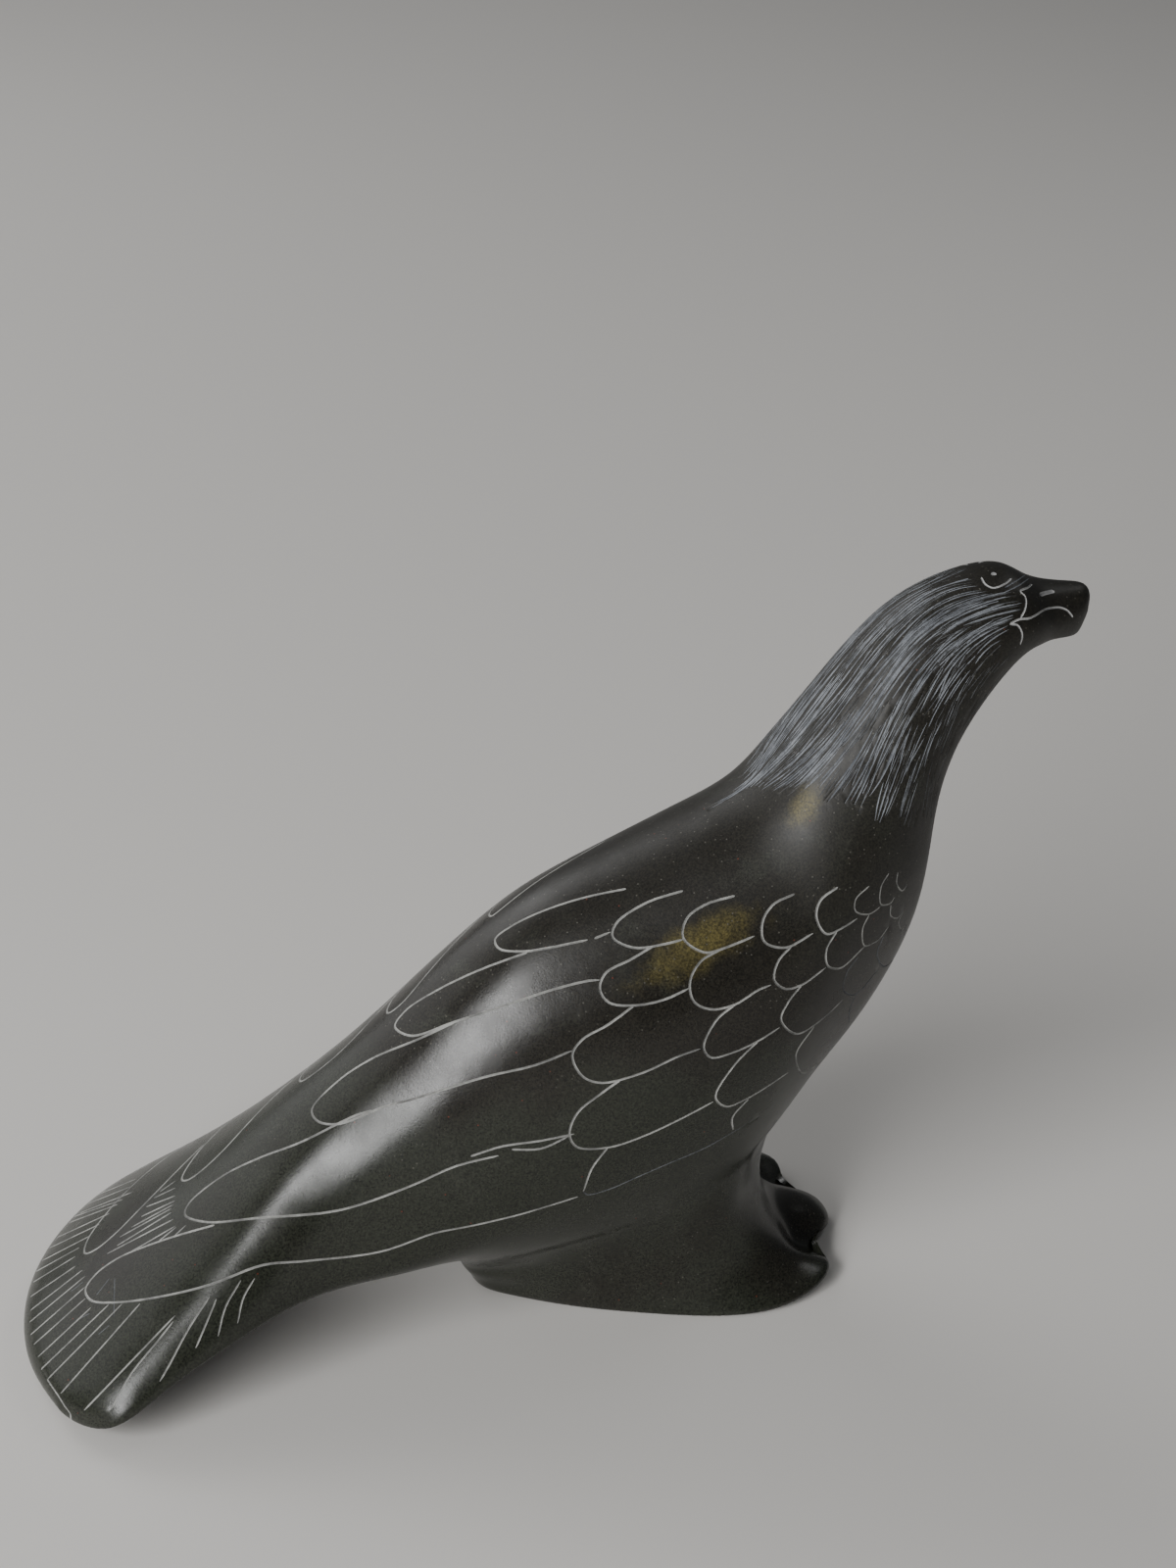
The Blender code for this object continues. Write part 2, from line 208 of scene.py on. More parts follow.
CERE = ((1053, 596), (1048, 600), (1041, 603), (1046, 609), (1047, 616), (1045, 624), (1041, 631))
MOUTH = ((1030, 637), (1040, 632), (1050, 631), (1058, 627), (1066, 622), (1075, 620),
         (1082, 620), (1089, 623), (1095, 630))
JAW = ((1030, 637), (1038, 638), (1042, 644), (1043, 650), (1041, 658))
NOSTRIL = ((1061, 607), (1067, 605), (1076, 603))
EYE_ARC = ((1001, 589), (1005, 596), (1013, 600), (1021, 598), (1028, 594), (1032, 590))
# The pupil: a short cut whose pale fill also stands for a painted glint in the eye.
PUPIL = ((1011, 586), (1017, 585))
BROW_STROKES = (((1050, 584), (1038, 592), (1025, 600)), ((1050, 590), (1040, 597), (1022, 606)))
# Guides of the combed hair from the nape to the throat, each from the face to the collar.
HAIR_GUIDES = (
    ((1000, 592), (975, 596), (945, 608), (915, 632), (885, 664), (860, 697), (835, 730),
     (808, 762), (782, 787), (757, 809)),
    ((1010, 604), (985, 609), (955, 622), (925, 648), (897, 680), (872, 712), (848, 744),
     (822, 773), (800, 793), (778, 808)),
    ((1040, 605), (1010, 613), (980, 624), (950, 641), (922, 668), (898, 700), (876, 732),
     (852, 765), (828, 792), (808, 810)),
    ((1045, 615), (1015, 622), (985, 634), (958, 650), (932, 676), (910, 706), (890, 738),
     (868, 770), (848, 797), (836, 813)),
    ((1042, 625), (1012, 634), (985, 646), (960, 664), (938, 690), (918, 720), (900, 752),
     (885, 782), (872, 806), (862, 820)),
    ((1032, 634), (1005, 645), (982, 660), (962, 680), (945, 705), (928, 735), (913, 765),
     (900, 795), (890, 820), (886, 834)),
    ((1030, 640), (1010, 652), (992, 668), (975, 690), (960, 716), (945, 745), (932, 775),
     (921, 805), (913, 828), (908, 840)),
    ((1035, 648), (1018, 662), (1000, 680), (984, 703), (970, 730), (956, 760), (945, 790),
     (936, 815), (930, 838)),
    ((1030, 665), (1012, 685), (994, 710), (978, 740), (965, 770), (955, 800), (948, 845)),
)
NAPE_GUIDE = ((15.4, 0.0), (9.45, 0.0))  # the first and last guide, as (ring, side)
THROAT_GUIDE = ((15.0, 6.0), (13.2, 6.0))
# The lower edge of the smooth crown, where no hair is cut.
CROWN_EDGE = ((1000, 580), (1001, 589), (1004, 596), (1013, 601), (1023, 599), (1033, 592),
              (1048, 584))
TAIL_SCRATCHES = (((72, 1318), (85, 1308)), ((80, 1346), (92, 1340)), ((98, 1322), (112, 1304)),
                  ((117, 1304), (116, 1345)), ((100, 1362), (112, 1352)))
# Ochre stains: start, end, and half width in metres.
STAINS = (((652, 999), (774, 930), 0.0027), ((806, 842), (838, 796), 0.0022))

# Sizes of the cuts, in metres: widths, depths and the tapers at their ends.
FEATHER_WIDTH = 0.00043
FAINT_WIDTH = 0.00030
HAIR_WIDTH = 0.00021
FINE_HAIR_WIDTH = 0.00015
TAIL_WIDTH = 0.00033
FACE_WIDTH = 0.00038
NOSTRIL_WIDTH = 0.0008
PUPIL_WIDTH = 0.0010
SCRATCH_WIDTH = 0.00022
CUT_SLOPE = 0.62  # depth of a cut as a share of its half width
SHALLOWEST = 0.000002  # triangles cut less deeply than this keep their polish
TAPER = 0.0012  # length over which a cut runs out
SHORT_TAPER = 0.0004
FADE_TAPER = 0.012
HAIR_TAPER = 0.0025

# How closely the lines are followed.
PIXEL_STEP = 1.5  # pixels between the rays along a line of the photograph
SHORTEST_SPAN = 1e-9  # keeps two equal points from dividing by nothing
SAMPLE_STEP = 0.00015  # metres between the samples that a cut's depth is measured from
BEND_TOLERANCE = 0.00002  # metres that a cut's edges may leave its smooth path
LONGEST_STEP = 0.0025  # metres between two kept points of a cut
CLEARANCE = 0.00025  # metres between a cut and the next point of the plain skin

# Where the cuts lie, in rings and sides of the skin.
FAR_EYE_DROP = 0.25  # how much lower the far eye lies, in sides
FAR_WING_ALONG = 0.05  # how far a far feather may be out of true, in rings
FAR_WING_ROUND = 0.03  # and in sides
SEAM_MARGIN = 0.06  # how far hair keeps off the skin's seam under the throat, in sides
TAIL_RIM = 0.09  # the tail's strokes stop this far short of its rim, in rings
MIRRORED_FROM_SIDE = 1.2  # tail strokes this far from the back's middle are repeated

# The combed hair: strokes in bands from the face to the collar, drawn together into locks.
GUIDE_POINTS = 40  # places along each guide
ACROSS_SAMPLES = 240  # places at which a band is measured, from the nape to the throat
HAIR_BANDS = 6
HAIR_POINTS = 12  # places along each stroke
FEWEST_POINTS = 4  # a stroke with fewer places left is left out
# Metres from stroke to stroke at each guide, and how far a lock draws its strokes together.
HAIR_PITCHES = (0.00046, 0.00046, 0.00048, 0.00050, 0.00052, 0.00052, 0.00054, 0.00060,
                0.00080, 0.00110, 0.00140)
LOCK_PULLS = (0.05, 0.05, 0.10, 0.20, 0.30, 0.40, 0.40, 0.35, 0.25, 0.10, 0.10)
PITCH_SHARES = (0.6, 1.4)  # least and greatest share of the pitch to the next stroke
LOCK_WIDTH = 0.0036  # metres
LOCK_WIDTH_SHARES = (0.5, 1.5)
LOCK_MIDDLES = (0.3, 0.8)  # the share of its width at which a lock's strokes meet
LOCK_SHIFT = 0.25  # bands that a whole lock lies higher or lower
STROKE_SHIFT = 0.5  # bands that a stroke lies higher or lower than its lock
STROKE_LENGTHS = (0.9, 1.9)  # in bands
STROKE_WIDTH_SHARES = (0.65, 1.3)
HAIR_SLANT = 0.0005  # metres that a stroke usually wanders sideways by its end
HAIR_BOW = 0.0006  # four times what it usually bows sideways halfway along
COLLAR_SHIFT = 0.4  # bands that a stroke may end off its lock at the collar
COLLAR_RAGGED = 0.09  # what such a shift comes to, of a guide's length
NEAR_NAPE_GAP = 0.0003  # metres of plain nape on either side of its middle
FAR_NAPE_GAP = 0.0008
FAINT_GUIDE = 7.4  # from about this guide on, the strokes are faint
FAINT_NARROWING = 0.25  # the share of its width that a faint stroke loses
THROAT_GAPS = 0.35  # share of the faint strokes that is left out

# The skin as a flat sheet of triangles.
CELLS = 2 ** FINE_LEVEL  # cells of the fine skin along one face of the cage
FLAT_RING = 0.011  # metres from ring to ring in the flat picture of the skin
FLAT_SIDE = 0.009  # and from side to side
MERGE_DISTANCE = 0.0001  # millimetres, in the flat picture of the skin
SHARP_ANGLE = math.radians(40.0)  # edges that turn more than this stay sharp
LAST_RING = len(RINGS) - 1
HALF = SIDES // 2  # the side that runs along the belly's middle
NEARLY_NOTHING = 0.000001  # metres above the ground that still count as on it
SEED = 7  # of the hand's unevenness

SKIN, PLAIN = 0, 1  # material indices of the cage: the body's skin, and the rest
# The face cuts share one pale material; on the pupil its paleness is a painted glint.
POLISHED, FEATHER_CUT, HAIR_CUT, FAINT_CUT, FACE_CUT_AND_GLINT = 0, 1, 2, 3, 4

# Layers of hair: kind of cut, width, spacing as a share of the pitch, share left out.
HAIR_LAYERS = ((FAINT_CUT, FINE_HAIR_WIDTH, 1.25, 0.20), (HAIR_CUT, HAIR_WIDTH, 1.55, 0.12))

# Colours of the stone, as shares of the light they throw back.
STONE_GREEN = (0.0175, 0.0192, 0.0140)
STONE_BROWN = (0.0125, 0.0112, 0.0086)
STONE_LIGHT = (0.0270, 0.0285, 0.0225)
OCHRE = (0.080, 0.066, 0.022)
SPECK_PALE = (0.105, 0.10, 0.085)
SPECK_RED = (0.13, 0.030, 0.016)
DARK_GRAIN = (0.50, 0.50, 0.50)
LIGHT_GRAIN = (1.75, 1.75, 1.70)
# Inside each kind of cut: the material, its colour where grimy and where clean.
CUT_STONES = (
    ("feather_line", (0.14, 0.14, 0.135), (0.38, 0.38, 0.36)),
    ("hair_line", (0.12, 0.128, 0.142), (0.27, 0.285, 0.31)),
    ("faint_line", (0.04, 0.042, 0.045), (0.15, 0.157, 0.165)),
    # The face lines are the palest: the real pale fill of their cuts, and on the pupil a painted
    # glint.
    ("face_line_and_glint", (0.28, 0.28, 0.28), (0.50, 0.50, 0.49)),
)

# Noises in the stone: scale per metre, detail and roughness.
CLOUDS = (32.0, 4.0, 0.5)
VEINS = (85.0, 6.0, 0.65)
STAIN_EDGE = (230.0, 3.0, 0.5)
STAIN_STREAKS = (1400.0, 3.0, 0.6)
GRAIN = (2600.0, 3.0, 0.6)
SPECK_CROWDS = (60.0, 2.0, 0.5)
RUBBED = (120.0, 5.0, 0.6)
SWELLS = (62.0, 1.0, 0.5)
RIPPLES = (330.0, 3.0, 0.5)
CLEAN_STRETCHES = (170.0, 5.0, 0.7)
POWDER = (3200.0, 3.0, 0.5)
GRIT = (4200.0, 2.0, 0.5)
MOST_NOISE = (0.30, 0.70)  # nearly all of a noise lies between these values
# Depth in metres and strength of the bumps that a noise makes.
SWELL_BUMP = (0.0006, 0.35)
RIPPLE_BUMP = (0.00008, 0.4)
GRAIN_BUMP = (0.00003, 0.6)
GRIT_BUMP = (0.00004, 0.8)
# Heights in metres, and what the stone gains in brown, in specks and in roughness over them.
BROWN_HEIGHTS, BROWN_GAIN = (0.035, 0.075), (-0.12, 0.18)
SPECK_HEIGHTS, SPECK_GAIN = (0.055, 0.085), (-0.10, 0.12)
MATTE_HEIGHTS, MATTE_GAIN = (0.072, 0.092), (0.0, 0.20)
# From where to where a noise shows, and how much of it.
BROWN_FROM = (0.40, 0.62)
VEINS_FROM, VEINS_SHOWN = (0.54, 0.72), (0.0, 0.55)
CLEAN_FROM = (0.32, 0.64)
CROWDS_FROM, CROWDS_SHOWN = (0.42, 0.60), (0.10, 0.85)
STREAKS_SHOWN = (0.65, 1.0)
POWDER_SHOWN = (0.7, 1.0)
STAIN_RAGGED = (-0.25, 0.25)  # how unevenly a stain ends, of its own half width
STAIN_FADE = (1.35, 0.10)  # a stain starts and is full at these shares of its half width
SPECK_SCALE = 1050.0  # cells per metre, each with one speck at most
SPECK_EDGE = (0.20, 0.09)  # a speck starts and is full at these shares of its cell
PALE_FROM = 0.55  # cells drawn above this carry a pale speck
RED_FROM = 0.988  # and above this a red one
POLISH_ROUGHNESS = (0.215, 0.295)
POLISH_SHEEN = 0.38
CUT_ROUGHNESS = 0.85
CUT_SHEEN = 0.25

# The room: lights as name, place, point aimed at, width and height, power, roll in degrees.
LIGHTS = (
    ("window", (-0.90, -0.67, 0.59), (-0.02, 0.0, 0.04), (1.10, 0.42), 11.5, -44.0),
    ("window_core", (-0.87, -0.65, 0.57), (-0.02, 0.0, 0.04), (0.85, 0.15), 6.5, -44.0),
    ("left_panel", (-0.85, 0.72, 0.50), (-0.03, 0.0, 0.06), (1.3, 0.7), 3.2, 0.0),
    ("right_panel", (0.74, 0.30, 0.98), (0.05, 0.0, 0.08), (0.28, 0.28), 0.9, 0.0),
    ("far_panel", (-0.9, 2.0, 1.6), (-0.4, 1.1, 0.0), (1.2, 1.2), 14.0, 0.0),
)
ROOM_COLOUR = (0.94, 0.97, 1.0, 1.0)
ROOM_STRENGTH = 0.10
FLOOR_COLOUR = (0.70, 0.68, 0.65, 1.0)
FLOOR_ROUGHNESS = 0.9
FLOOR_REACH = 9.0  # metres from the bird to the floor's edges


def share(value):
    """A share of the carving's length, in metres."""
    return value * LENGTH / SHARES


def smooth_step(value):
    """Rises smoothly from 0 to 1 as the value does."""
    value = min(max(value, 0.0), 1.0)
    return value * value * (3 - 2 * value)


def in_scene(name, data):
    """A new object in the scene."""
    thing = bpy.data.objects.new(name, data)
    bpy.context.scene.collection.objects.link(thing)
    return thing


def ring_points(ring):
    """The control points of one ring, from the back round the bird's right side."""
    back, belly, widest, edge, bow, sway = ring

    def across(down, width):
        x = back[0] + (belly[0] - back[0]) * down
        z = back[1] + (belly[1] - back[1]) * down
        lean = bow * (width / widest[1]) ** 2
        return (x + lean, width, z)

    right = [across(0.0, 0.0)]
    for side in range(1, HALF // 2):
        turn = math.pi * side / HALF
        width = widest[1] * math.sin(turn) ** (2 / ROUNDNESS)
        down = widest[0] * (1 - math.cos(turn) ** (2 / ROUNDNESS))
        right.append(across(down, width))
    right.append(across(*widest))
    right.append(across(*edge))
    hollow = edge[0] + (1 - edge[0]) * UNDER_DEPTH
    right.append(across(hollow, edge[1] * UNDER_WIDTH))
    points = [(x, -y, z) for x, y, z in right] + [across(1.0, 0.0)]
    points += [(x, y, z) for x, y, z in reversed(right[1:])]
    return [(x, y + sway, z) for x, y, z in points]


def mirrored_loop(loop):
    """A full plinth loop from its half: rear middle, right flank, front middle, left flank."""
    right = [(x, -y, z) for x, y, z in loop]
    left = [(x, y, z) for x, y, z in reversed(loop[1:-1])]
    return right + left


def build_cage():
    """The control cage, whose skin faces carry (ring, side) as their UV."""
    cage = bmesh.new()
    places = cage.loops.layers.uv.new("place")

    def add(point):
        return cage.verts.new([share(value) for value in point])

    rings = []
    for index, ring in enumerate(RINGS):
        under = PLINTH_REAR_RING < index < PLINTH_FRONT_RING
        row = []
        for side, point in enumerate(ring_points(ring)):
            hidden = under and EDGE_SIDE < side < SIDES - EDGE_SIDE
            row.append(None if hidden else add(point))
        rings.append(row)

    for index, (rear, front) in enumerate(zip(rings[:-1], rings[1:])):
        over_plinth = PLINTH_REAR_RING <= index < PLINTH_FRONT_RING
        for side in range(SIDES):
            following = (side + 1) % SIDES
            if over_plinth and EDGE_SIDE <= side < SIDES - EDGE_SIDE:
                continue
            corners = ((rear[side], (index, side)), (rear[following], (index, side + 1)),
                       (front[following], (index + 1, side + 1)), (front[side], (index + 1, side)))
            face = cage.faces.new([vertex for vertex, _ in corners])
            face.material_index = SKIN
            for loop, (_, place) in zip(face.loops, corners):
                loop[places].uv = place

    close_end(cage, rings[0], False)
    close_end(cage, rings[-1], True)

    far_edge = SIDES - EDGE_SIDE
    between = range(PLINTH_REAR_RING + 1, PLINTH_FRONT_RING)
    rear_row, front_row = rings[PLINTH_REAR_RING], rings[PLINTH_FRONT_RING]
    upper = [rear_row[side] for side in range(HALF, EDGE_SIDE, -1)]
    upper += [rings[index][EDGE_SIDE] for index in (PLINTH_REAR_RING, *between)]
    upper += [front_row[side] for side in range(EDGE_SIDE, far_edge + 1)]
    upper += [rings[index][far_edge] for index in reversed(between)]
    upper += [rear_row[side] for side in range(far_edge, HALF, -1)]
    for loop in PLINTH_LOOPS:
        lower = [add(point) for point in mirrored_loop(loop)]
        for index in range(len(lower)):
            following = (index + 1) % len(lower)
            face = cage.faces.new((upper[index], upper[following], lower[following], lower[index]))
            face.material_index = PLAIN
        upper = lower
    close_underside(cage, upper)
    bmesh.ops.recalc_face_normals(cage, faces=cage.faces)
    return cage


def close_end(cage, ring, front):
    """Closes a ring with strips that join its upper points to its lower ones."""
    quarter = SIDES // 4
    for upper in range(-quarter, quarter):
        corners = [ring[upper % SIDES], ring[(upper + 1) % SIDES],
                   ring[(HALF - upper - 1) % SIDES], ring[(HALF - upper) % SIDES]]
        unique = list(dict.fromkeys(corners))
        face = cage.faces.new(unique if front else reversed(unique))
        face.material_index = PLAIN


def close_underside(cage, loop):
    """Fills the flat underside with a grid of four by four faces, and keeps its edge sharp."""
    # The loop runs from the middle of its rear by the right flank; half a width is its rear.
    width = SIDES - 2 * EDGE_SIDE
    right = loop[width // 2:-width // 2 + 1][:PLINTH_FRONT_RING - PLINTH_REAR_RING + 1]
    left = list(reversed(loop))[width // 2 - 1:][:len(right)]
    rear = [loop[index] for index in range(width // 2, -width // 2 - 1, -1)]
    front_start = width // 2 + len(right) - 1
    front = [loop[front_start + index] for index in range(width + 1)]
    grid = [rear]
    for row in range(1, len(right) - 1):
        share_forward = row / (len(right) - 1)
        line = [right[row]]
        for column in range(1, width):
            across = column / width
            ends = right[row].co.lerp(left[row].co, across)
            spine = rear[column].co.lerp(front[column].co, share_forward)
            line.append(cage.verts.new((ends + spine) / 2))
        line.append(left[row])
        grid.append(line)
    grid.append(front)
    for near, far in zip(grid[:-1], grid[1:]):
        for column in range(width):
            face = cage.faces.new((near[column], far[column], far[column + 1], near[column + 1]))
            face.material_index = PLAIN
    crease = cage.edges.layers.float.new("crease_edge")
    for index, vertex in enumerate(loop):
        following = loop[(index + 1) % len(loop)]
        cage.edges.get((vertex, following))[crease] = 1.0


def smooth_mesh(cage):
    """The fine mesh whose smooth skin passes through the cage's own points."""
    mesh = bpy.data.meshes.new("cage")
    cage.to_mesh(mesh)
    thing = in_scene("cage", mesh)
    smoothing = thing.modifiers.new("smooth skin", "SUBSURF")
    smoothing.uv_smooth = "NONE"
    smoothing.levels = SETTLING_LEVEL
    wanted = [vertex.co.copy() for vertex in mesh.vertices]
    for _ in range(SETTLING_ROUNDS):
        skin = evaluated_copy(thing)
        for vertex, goal in zip(mesh.vertices, wanted):
            vertex.co += goal - skin.vertices[vertex.index].co
        mesh.update()
        thing.update_tag()
        bpy.data.meshes.remove(skin)
    smoothing.levels = FINE_LEVEL
    thing.update_tag()
    fine = evaluated_copy(thing)
    bpy.data.objects.remove(thing)
    bpy.data.meshes.remove(mesh)
    return fine


def evaluated_copy(thing):
    """A new mesh with the object's modifiers applied."""
    depsgraph = bpy.context.evaluated_depsgraph_get()
    depsgraph.update()
    return bpy.data.meshes.new_from_object(thing.evaluated_get(depsgraph))


def toe_share(spot):
    """How far a point belongs to the toes: 0 on the body and flanks, 1 at the toes' tips."""
    forward = smooth_step((spot.x - share(TOE_ROOT)) / share(TOE_TIP - TOE_ROOT))
    low = 1 - smooth_step((spot.z - share(TOE_HEIGHT / 2)) / share(TOE_HEIGHT / 2))
    return forward * low


def finished_points(fine):
    """The fine mesh's points with the toes carved, ground flat and set in the solid's box."""
    points = np.array([vertex.co for vertex in fine.vertices])
    for index, vertex in enumerate(fine.vertices):
        part = toe_share(vertex.co)
        if part > 0.0:
            turn = 2 * math.pi * vertex.co.y / share(TOE_PITCH)
            notch = ((1 - math.cos(turn)) / 2) ** TOE_FULLNESS
            offset = vertex.normal * share(-TOE_DEPTH * notch * part)
            if vertex.co.z < NEARLY_NOTHING:
                offset.z = 0.0
            points[index] += offset
    points[:, 2] = np.maximum(points[:, 2], 0.0)
    low, high = np.array(CAD_BOX[0]), np.array(CAD_BOX[1])
    size = points.max(0) - points.min(0)
    fit = np.minimum(1.0, (high - low) / size)
    middle = (points.max(0) + points.min(0)) / 2
    base = np.array((middle[0], middle[1], 0.0))
    home = np.array(((low[0] + high[0]) / 2, (low[1] + high[1]) / 2, low[2]))
    return (points - base) * fit + home


class Skin:
    """The body's smooth skin, read anywhere by (ring, side) from the fine mesh's grid."""

    def __init__(self, fine, points):
        rows, columns = LAST_RING * CELLS + 1, SIDES * CELLS
        self.vertex = np.full((rows, columns), -1)
        places = fine.uv_layers["place"].data
        for polygon in fine.polygons:
            if polygon.material_index != SKIN:
                continue
            for loop in polygon.loop_indices:
                ring, side = places[loop].uv
                row, column = round(ring * CELLS), round(side * CELLS) % columns
                self.vertex[row, column] = fine.loops[loop].vertex_index
        grid = np.where(self.vertex[..., None] < 0, np.nan, points[self.vertex])
        first, last = 2 * grid[:1] - grid[1:2], 2 * grid[-1:] - grid[-2:-1]
        self.grid = np.concatenate((first, grid, last))
        self.columns = columns
        self.build_tree(points)

    def build_tree(self, points):
        """A search tree of the skin's triangles, for rays."""
        rows, columns = self.vertex.shape
        corners, self.triangles = [], []
        for row in range(rows - 1):
            for column in range(columns):
                following = (column + 1) % columns
                square = (self.vertex[row, column], self.vertex[row, following],
                          self.vertex[row + 1, following], self.vertex[row + 1, column])
                if not in_skin((row + 0.5) / CELLS, (column + 0.5) / CELLS):
                    continue
                corners.append((square[0], square[1], square[2]))
                self.triangles.append(((row, column), (row, column + 1), (row + 1, column + 1)))
                corners.append((square[0], square[2], square[3]))
                self.triangles.append(((row, column), (row + 1, column + 1), (row + 1, column)))
        self.corners, self.points = corners, points
        self.tree = BVHTree.FromPolygons([tuple(point) for point in points], corners)

    def hit(self, origin, direction):
        """Where a ray meets the skin, as (ring, side), or None."""
        spot, _, index, _ = self.tree.ray_cast(origin, direction)
        if spot is None:
            return None
        a, b, c = (self.points[corner] for corner in self.corners[index])
        edge_1, edge_2, arm = b - a, c - a, np.array(spot) - a
        weights = np.linalg.lstsq(np.stack((edge_1, edge_2), 1), arm, rcond=None)[0]
        first, second, third = (np.array(place, float) for place in self.triangles[index])
        place = first + (second - first) * weights[0] + (third - first) * weights[1]
        side = place[1] / CELLS
        return place[0] / CELLS, side if side <= HALF else side - SIDES

    def read(self, places):
        """Points and their two slopes (along the rings' numbers and round the sides)."""
        row, column = places[:, 0] * CELLS, places[:, 1] * CELLS
        row_cell = np.clip(np.floor(row), 0, LAST_RING * CELLS - 1).astype(int)
        column_cell = np.floor(column).astype(int)
        row_part, column_part = row - row_cell, column - column_cell
        row_weights, row_slopes = cubic_weights(row_part)
        column_weights, column_slopes = cubic_weights(column_part)
        spot = np.zeros((len(places), 3))
        along = np.zeros_like(spot)
        round_ = np.zeros_like(spot)
        for i in range(4):
            for j in range(4):
                corner = self.grid[row_cell + i, (column_cell + j - 1) % self.columns]
                spot += corner * (row_weights[i] * column_weights[j])[:, None]
                along += corner * (row_slopes[i] * column_weights[j])[:, None]
                round_ += corner * (row_weights[i] * column_slopes[j])[:, None]
        missing = np.isnan(spot).any(1) | np.isnan(along).any(1) | np.isnan(round_).any(1)
        if missing.any():
            r, c = row_cell[missing] + 1, column_cell[missing]
            s, t = row_part[missing][:, None], column_part[missing][:, None]
            p00, p01 = self.grid[r, c % self.columns], self.grid[r, (c + 1) % self.columns]
            p10, p11 = self.grid[r + 1, c % self.columns], self.grid[r + 1, (c + 1) % self.columns]
            spot[missing] = (1 - s) * ((1 - t) * p00 + t * p01) + s * ((1 - t) * p10 + t * p11)
            along[missing] = (1 - t) * (p10 - p00) + t * (p11 - p01)
            round_[missing] = (1 - s) * (p01 - p00) + s * (p11 - p10)
        return spot, along * CELLS, round_ * CELLS

    def normals(self, along, round_):
        """Outward unit normals from the two slopes."""
        normal = np.cross(round_, along)
        return normal / np.linalg.norm(normal, axis=1)[:, None]


def cubic_weights(part):
    """Weights of four neighbours, and their slopes, for a smooth curve through the middle two."""
    square, cube = part ** 2, part ** 3
    weights = (-0.5 * part + square - 0.5 * cube, 1 - 2.5 * square + 1.5 * cube,
               0.5 * part + 2 * square - 1.5 * cube, -0.5 * square + 0.5 * cube)
    slopes = (-0.5 + 2 * part - 1.5 * square, -5 * part + 4.5 * square,
              0.5 + 4 * part - 4.5 * square, -part + 1.5 * square)
    return weights, slopes


def in_skin(ring, side):
    """True unless the place lies where the plinth grows out of the belly."""
    side = side % SIDES
    return not (PLINTH_REAR_RING < ring < PLINTH_FRONT_RING and EDGE_SIDE < side < SIDES - EDGE_SIDE)


def photo_ray(pixel):
    """The camera's place and the direction through a pixel of the photograph."""
    turn = Euler((CAMERA_TILT, 0.0, CAMERA_TURN)).to_matrix()
    sight = Vector((pixel[0] - PHOTO_WIDTH / 2, PHOTO_HEIGHT / 2 - pixel[1], -FOCAL_PIXELS))
    return Vector(CAMERA_PLACE), (turn @ sight).normalized()


def smooth_path(points, step):
    """A smooth curve through the points, with a point about every step."""
    points = [np.array(point, float) for point in points]
    if len(points) == 2:
        count = max(2, int(np.linalg.norm(points[1] - points[0]) / step))
        return [points[0] + (points[1] - points[0]) * index / count for index in range(count + 1)]
    padded = [2 * points[0] - points[1], *points, 2 * points[-1] - points[-2]]
    path = [points[0]]
    for before, start, end, after in zip(padded, padded[1:], padded[2:], padded[3:]):
        knots = np.cumsum([0.0] + [max(np.linalg.norm(b - a), SHORTEST_SPAN) ** 0.5
                                   for a, b in ((before, start), (start, end), (end, after))])
        count = max(2, int(np.linalg.norm(end - start) / step))
        for index in range(1, count + 1):
            t = knots[1] + (knots[2] - knots[1]) * index / count
            a1 = blend(before, start, knots[0], knots[1], t)
            a2 = blend(start, end, knots[1], knots[2], t)
            a3 = blend(end, after, knots[2], knots[3], t)
            b1 = blend(a1, a2, knots[0], knots[2], t)
            b2 = blend(a2, a3, knots[1], knots[3], t)
            path.append(blend(b1, b2, knots[1], knots[2], t))
    return path


def blend(start, end, low, high, value):
    """The point between start and end that value marks between low and high."""
    return start + (end - start) * (value - low) / (high - low)

def places_on_skin(skin, pixels):
    """A line of the photograph cast onto the skin, as (ring, side) places."""
    path = [skin.hit(*photo_ray(pixel)) for pixel in smooth_path(pixels, PIXEL_STEP)]
    return np.array([place for place in path if place is not None])


def mirrored(path, drift=(0.0, 0.0)):
    """The same line on the far flank, a little out of true."""
    return path * (1, -1) + drift


def way_along(spots):
    """How far along a line of points each of them lies."""
    steps = np.linalg.norm(np.diff(spots, axis=0), axis=1)
    return np.concatenate(([0.0], np.cumsum(steps)))


def places_at(path, reach, wanted):
    """The places of a path at the wanted distances along it."""
    return np.stack([np.interp(wanted, reach, path[:, axis]) for axis in (0, 1)], 1)


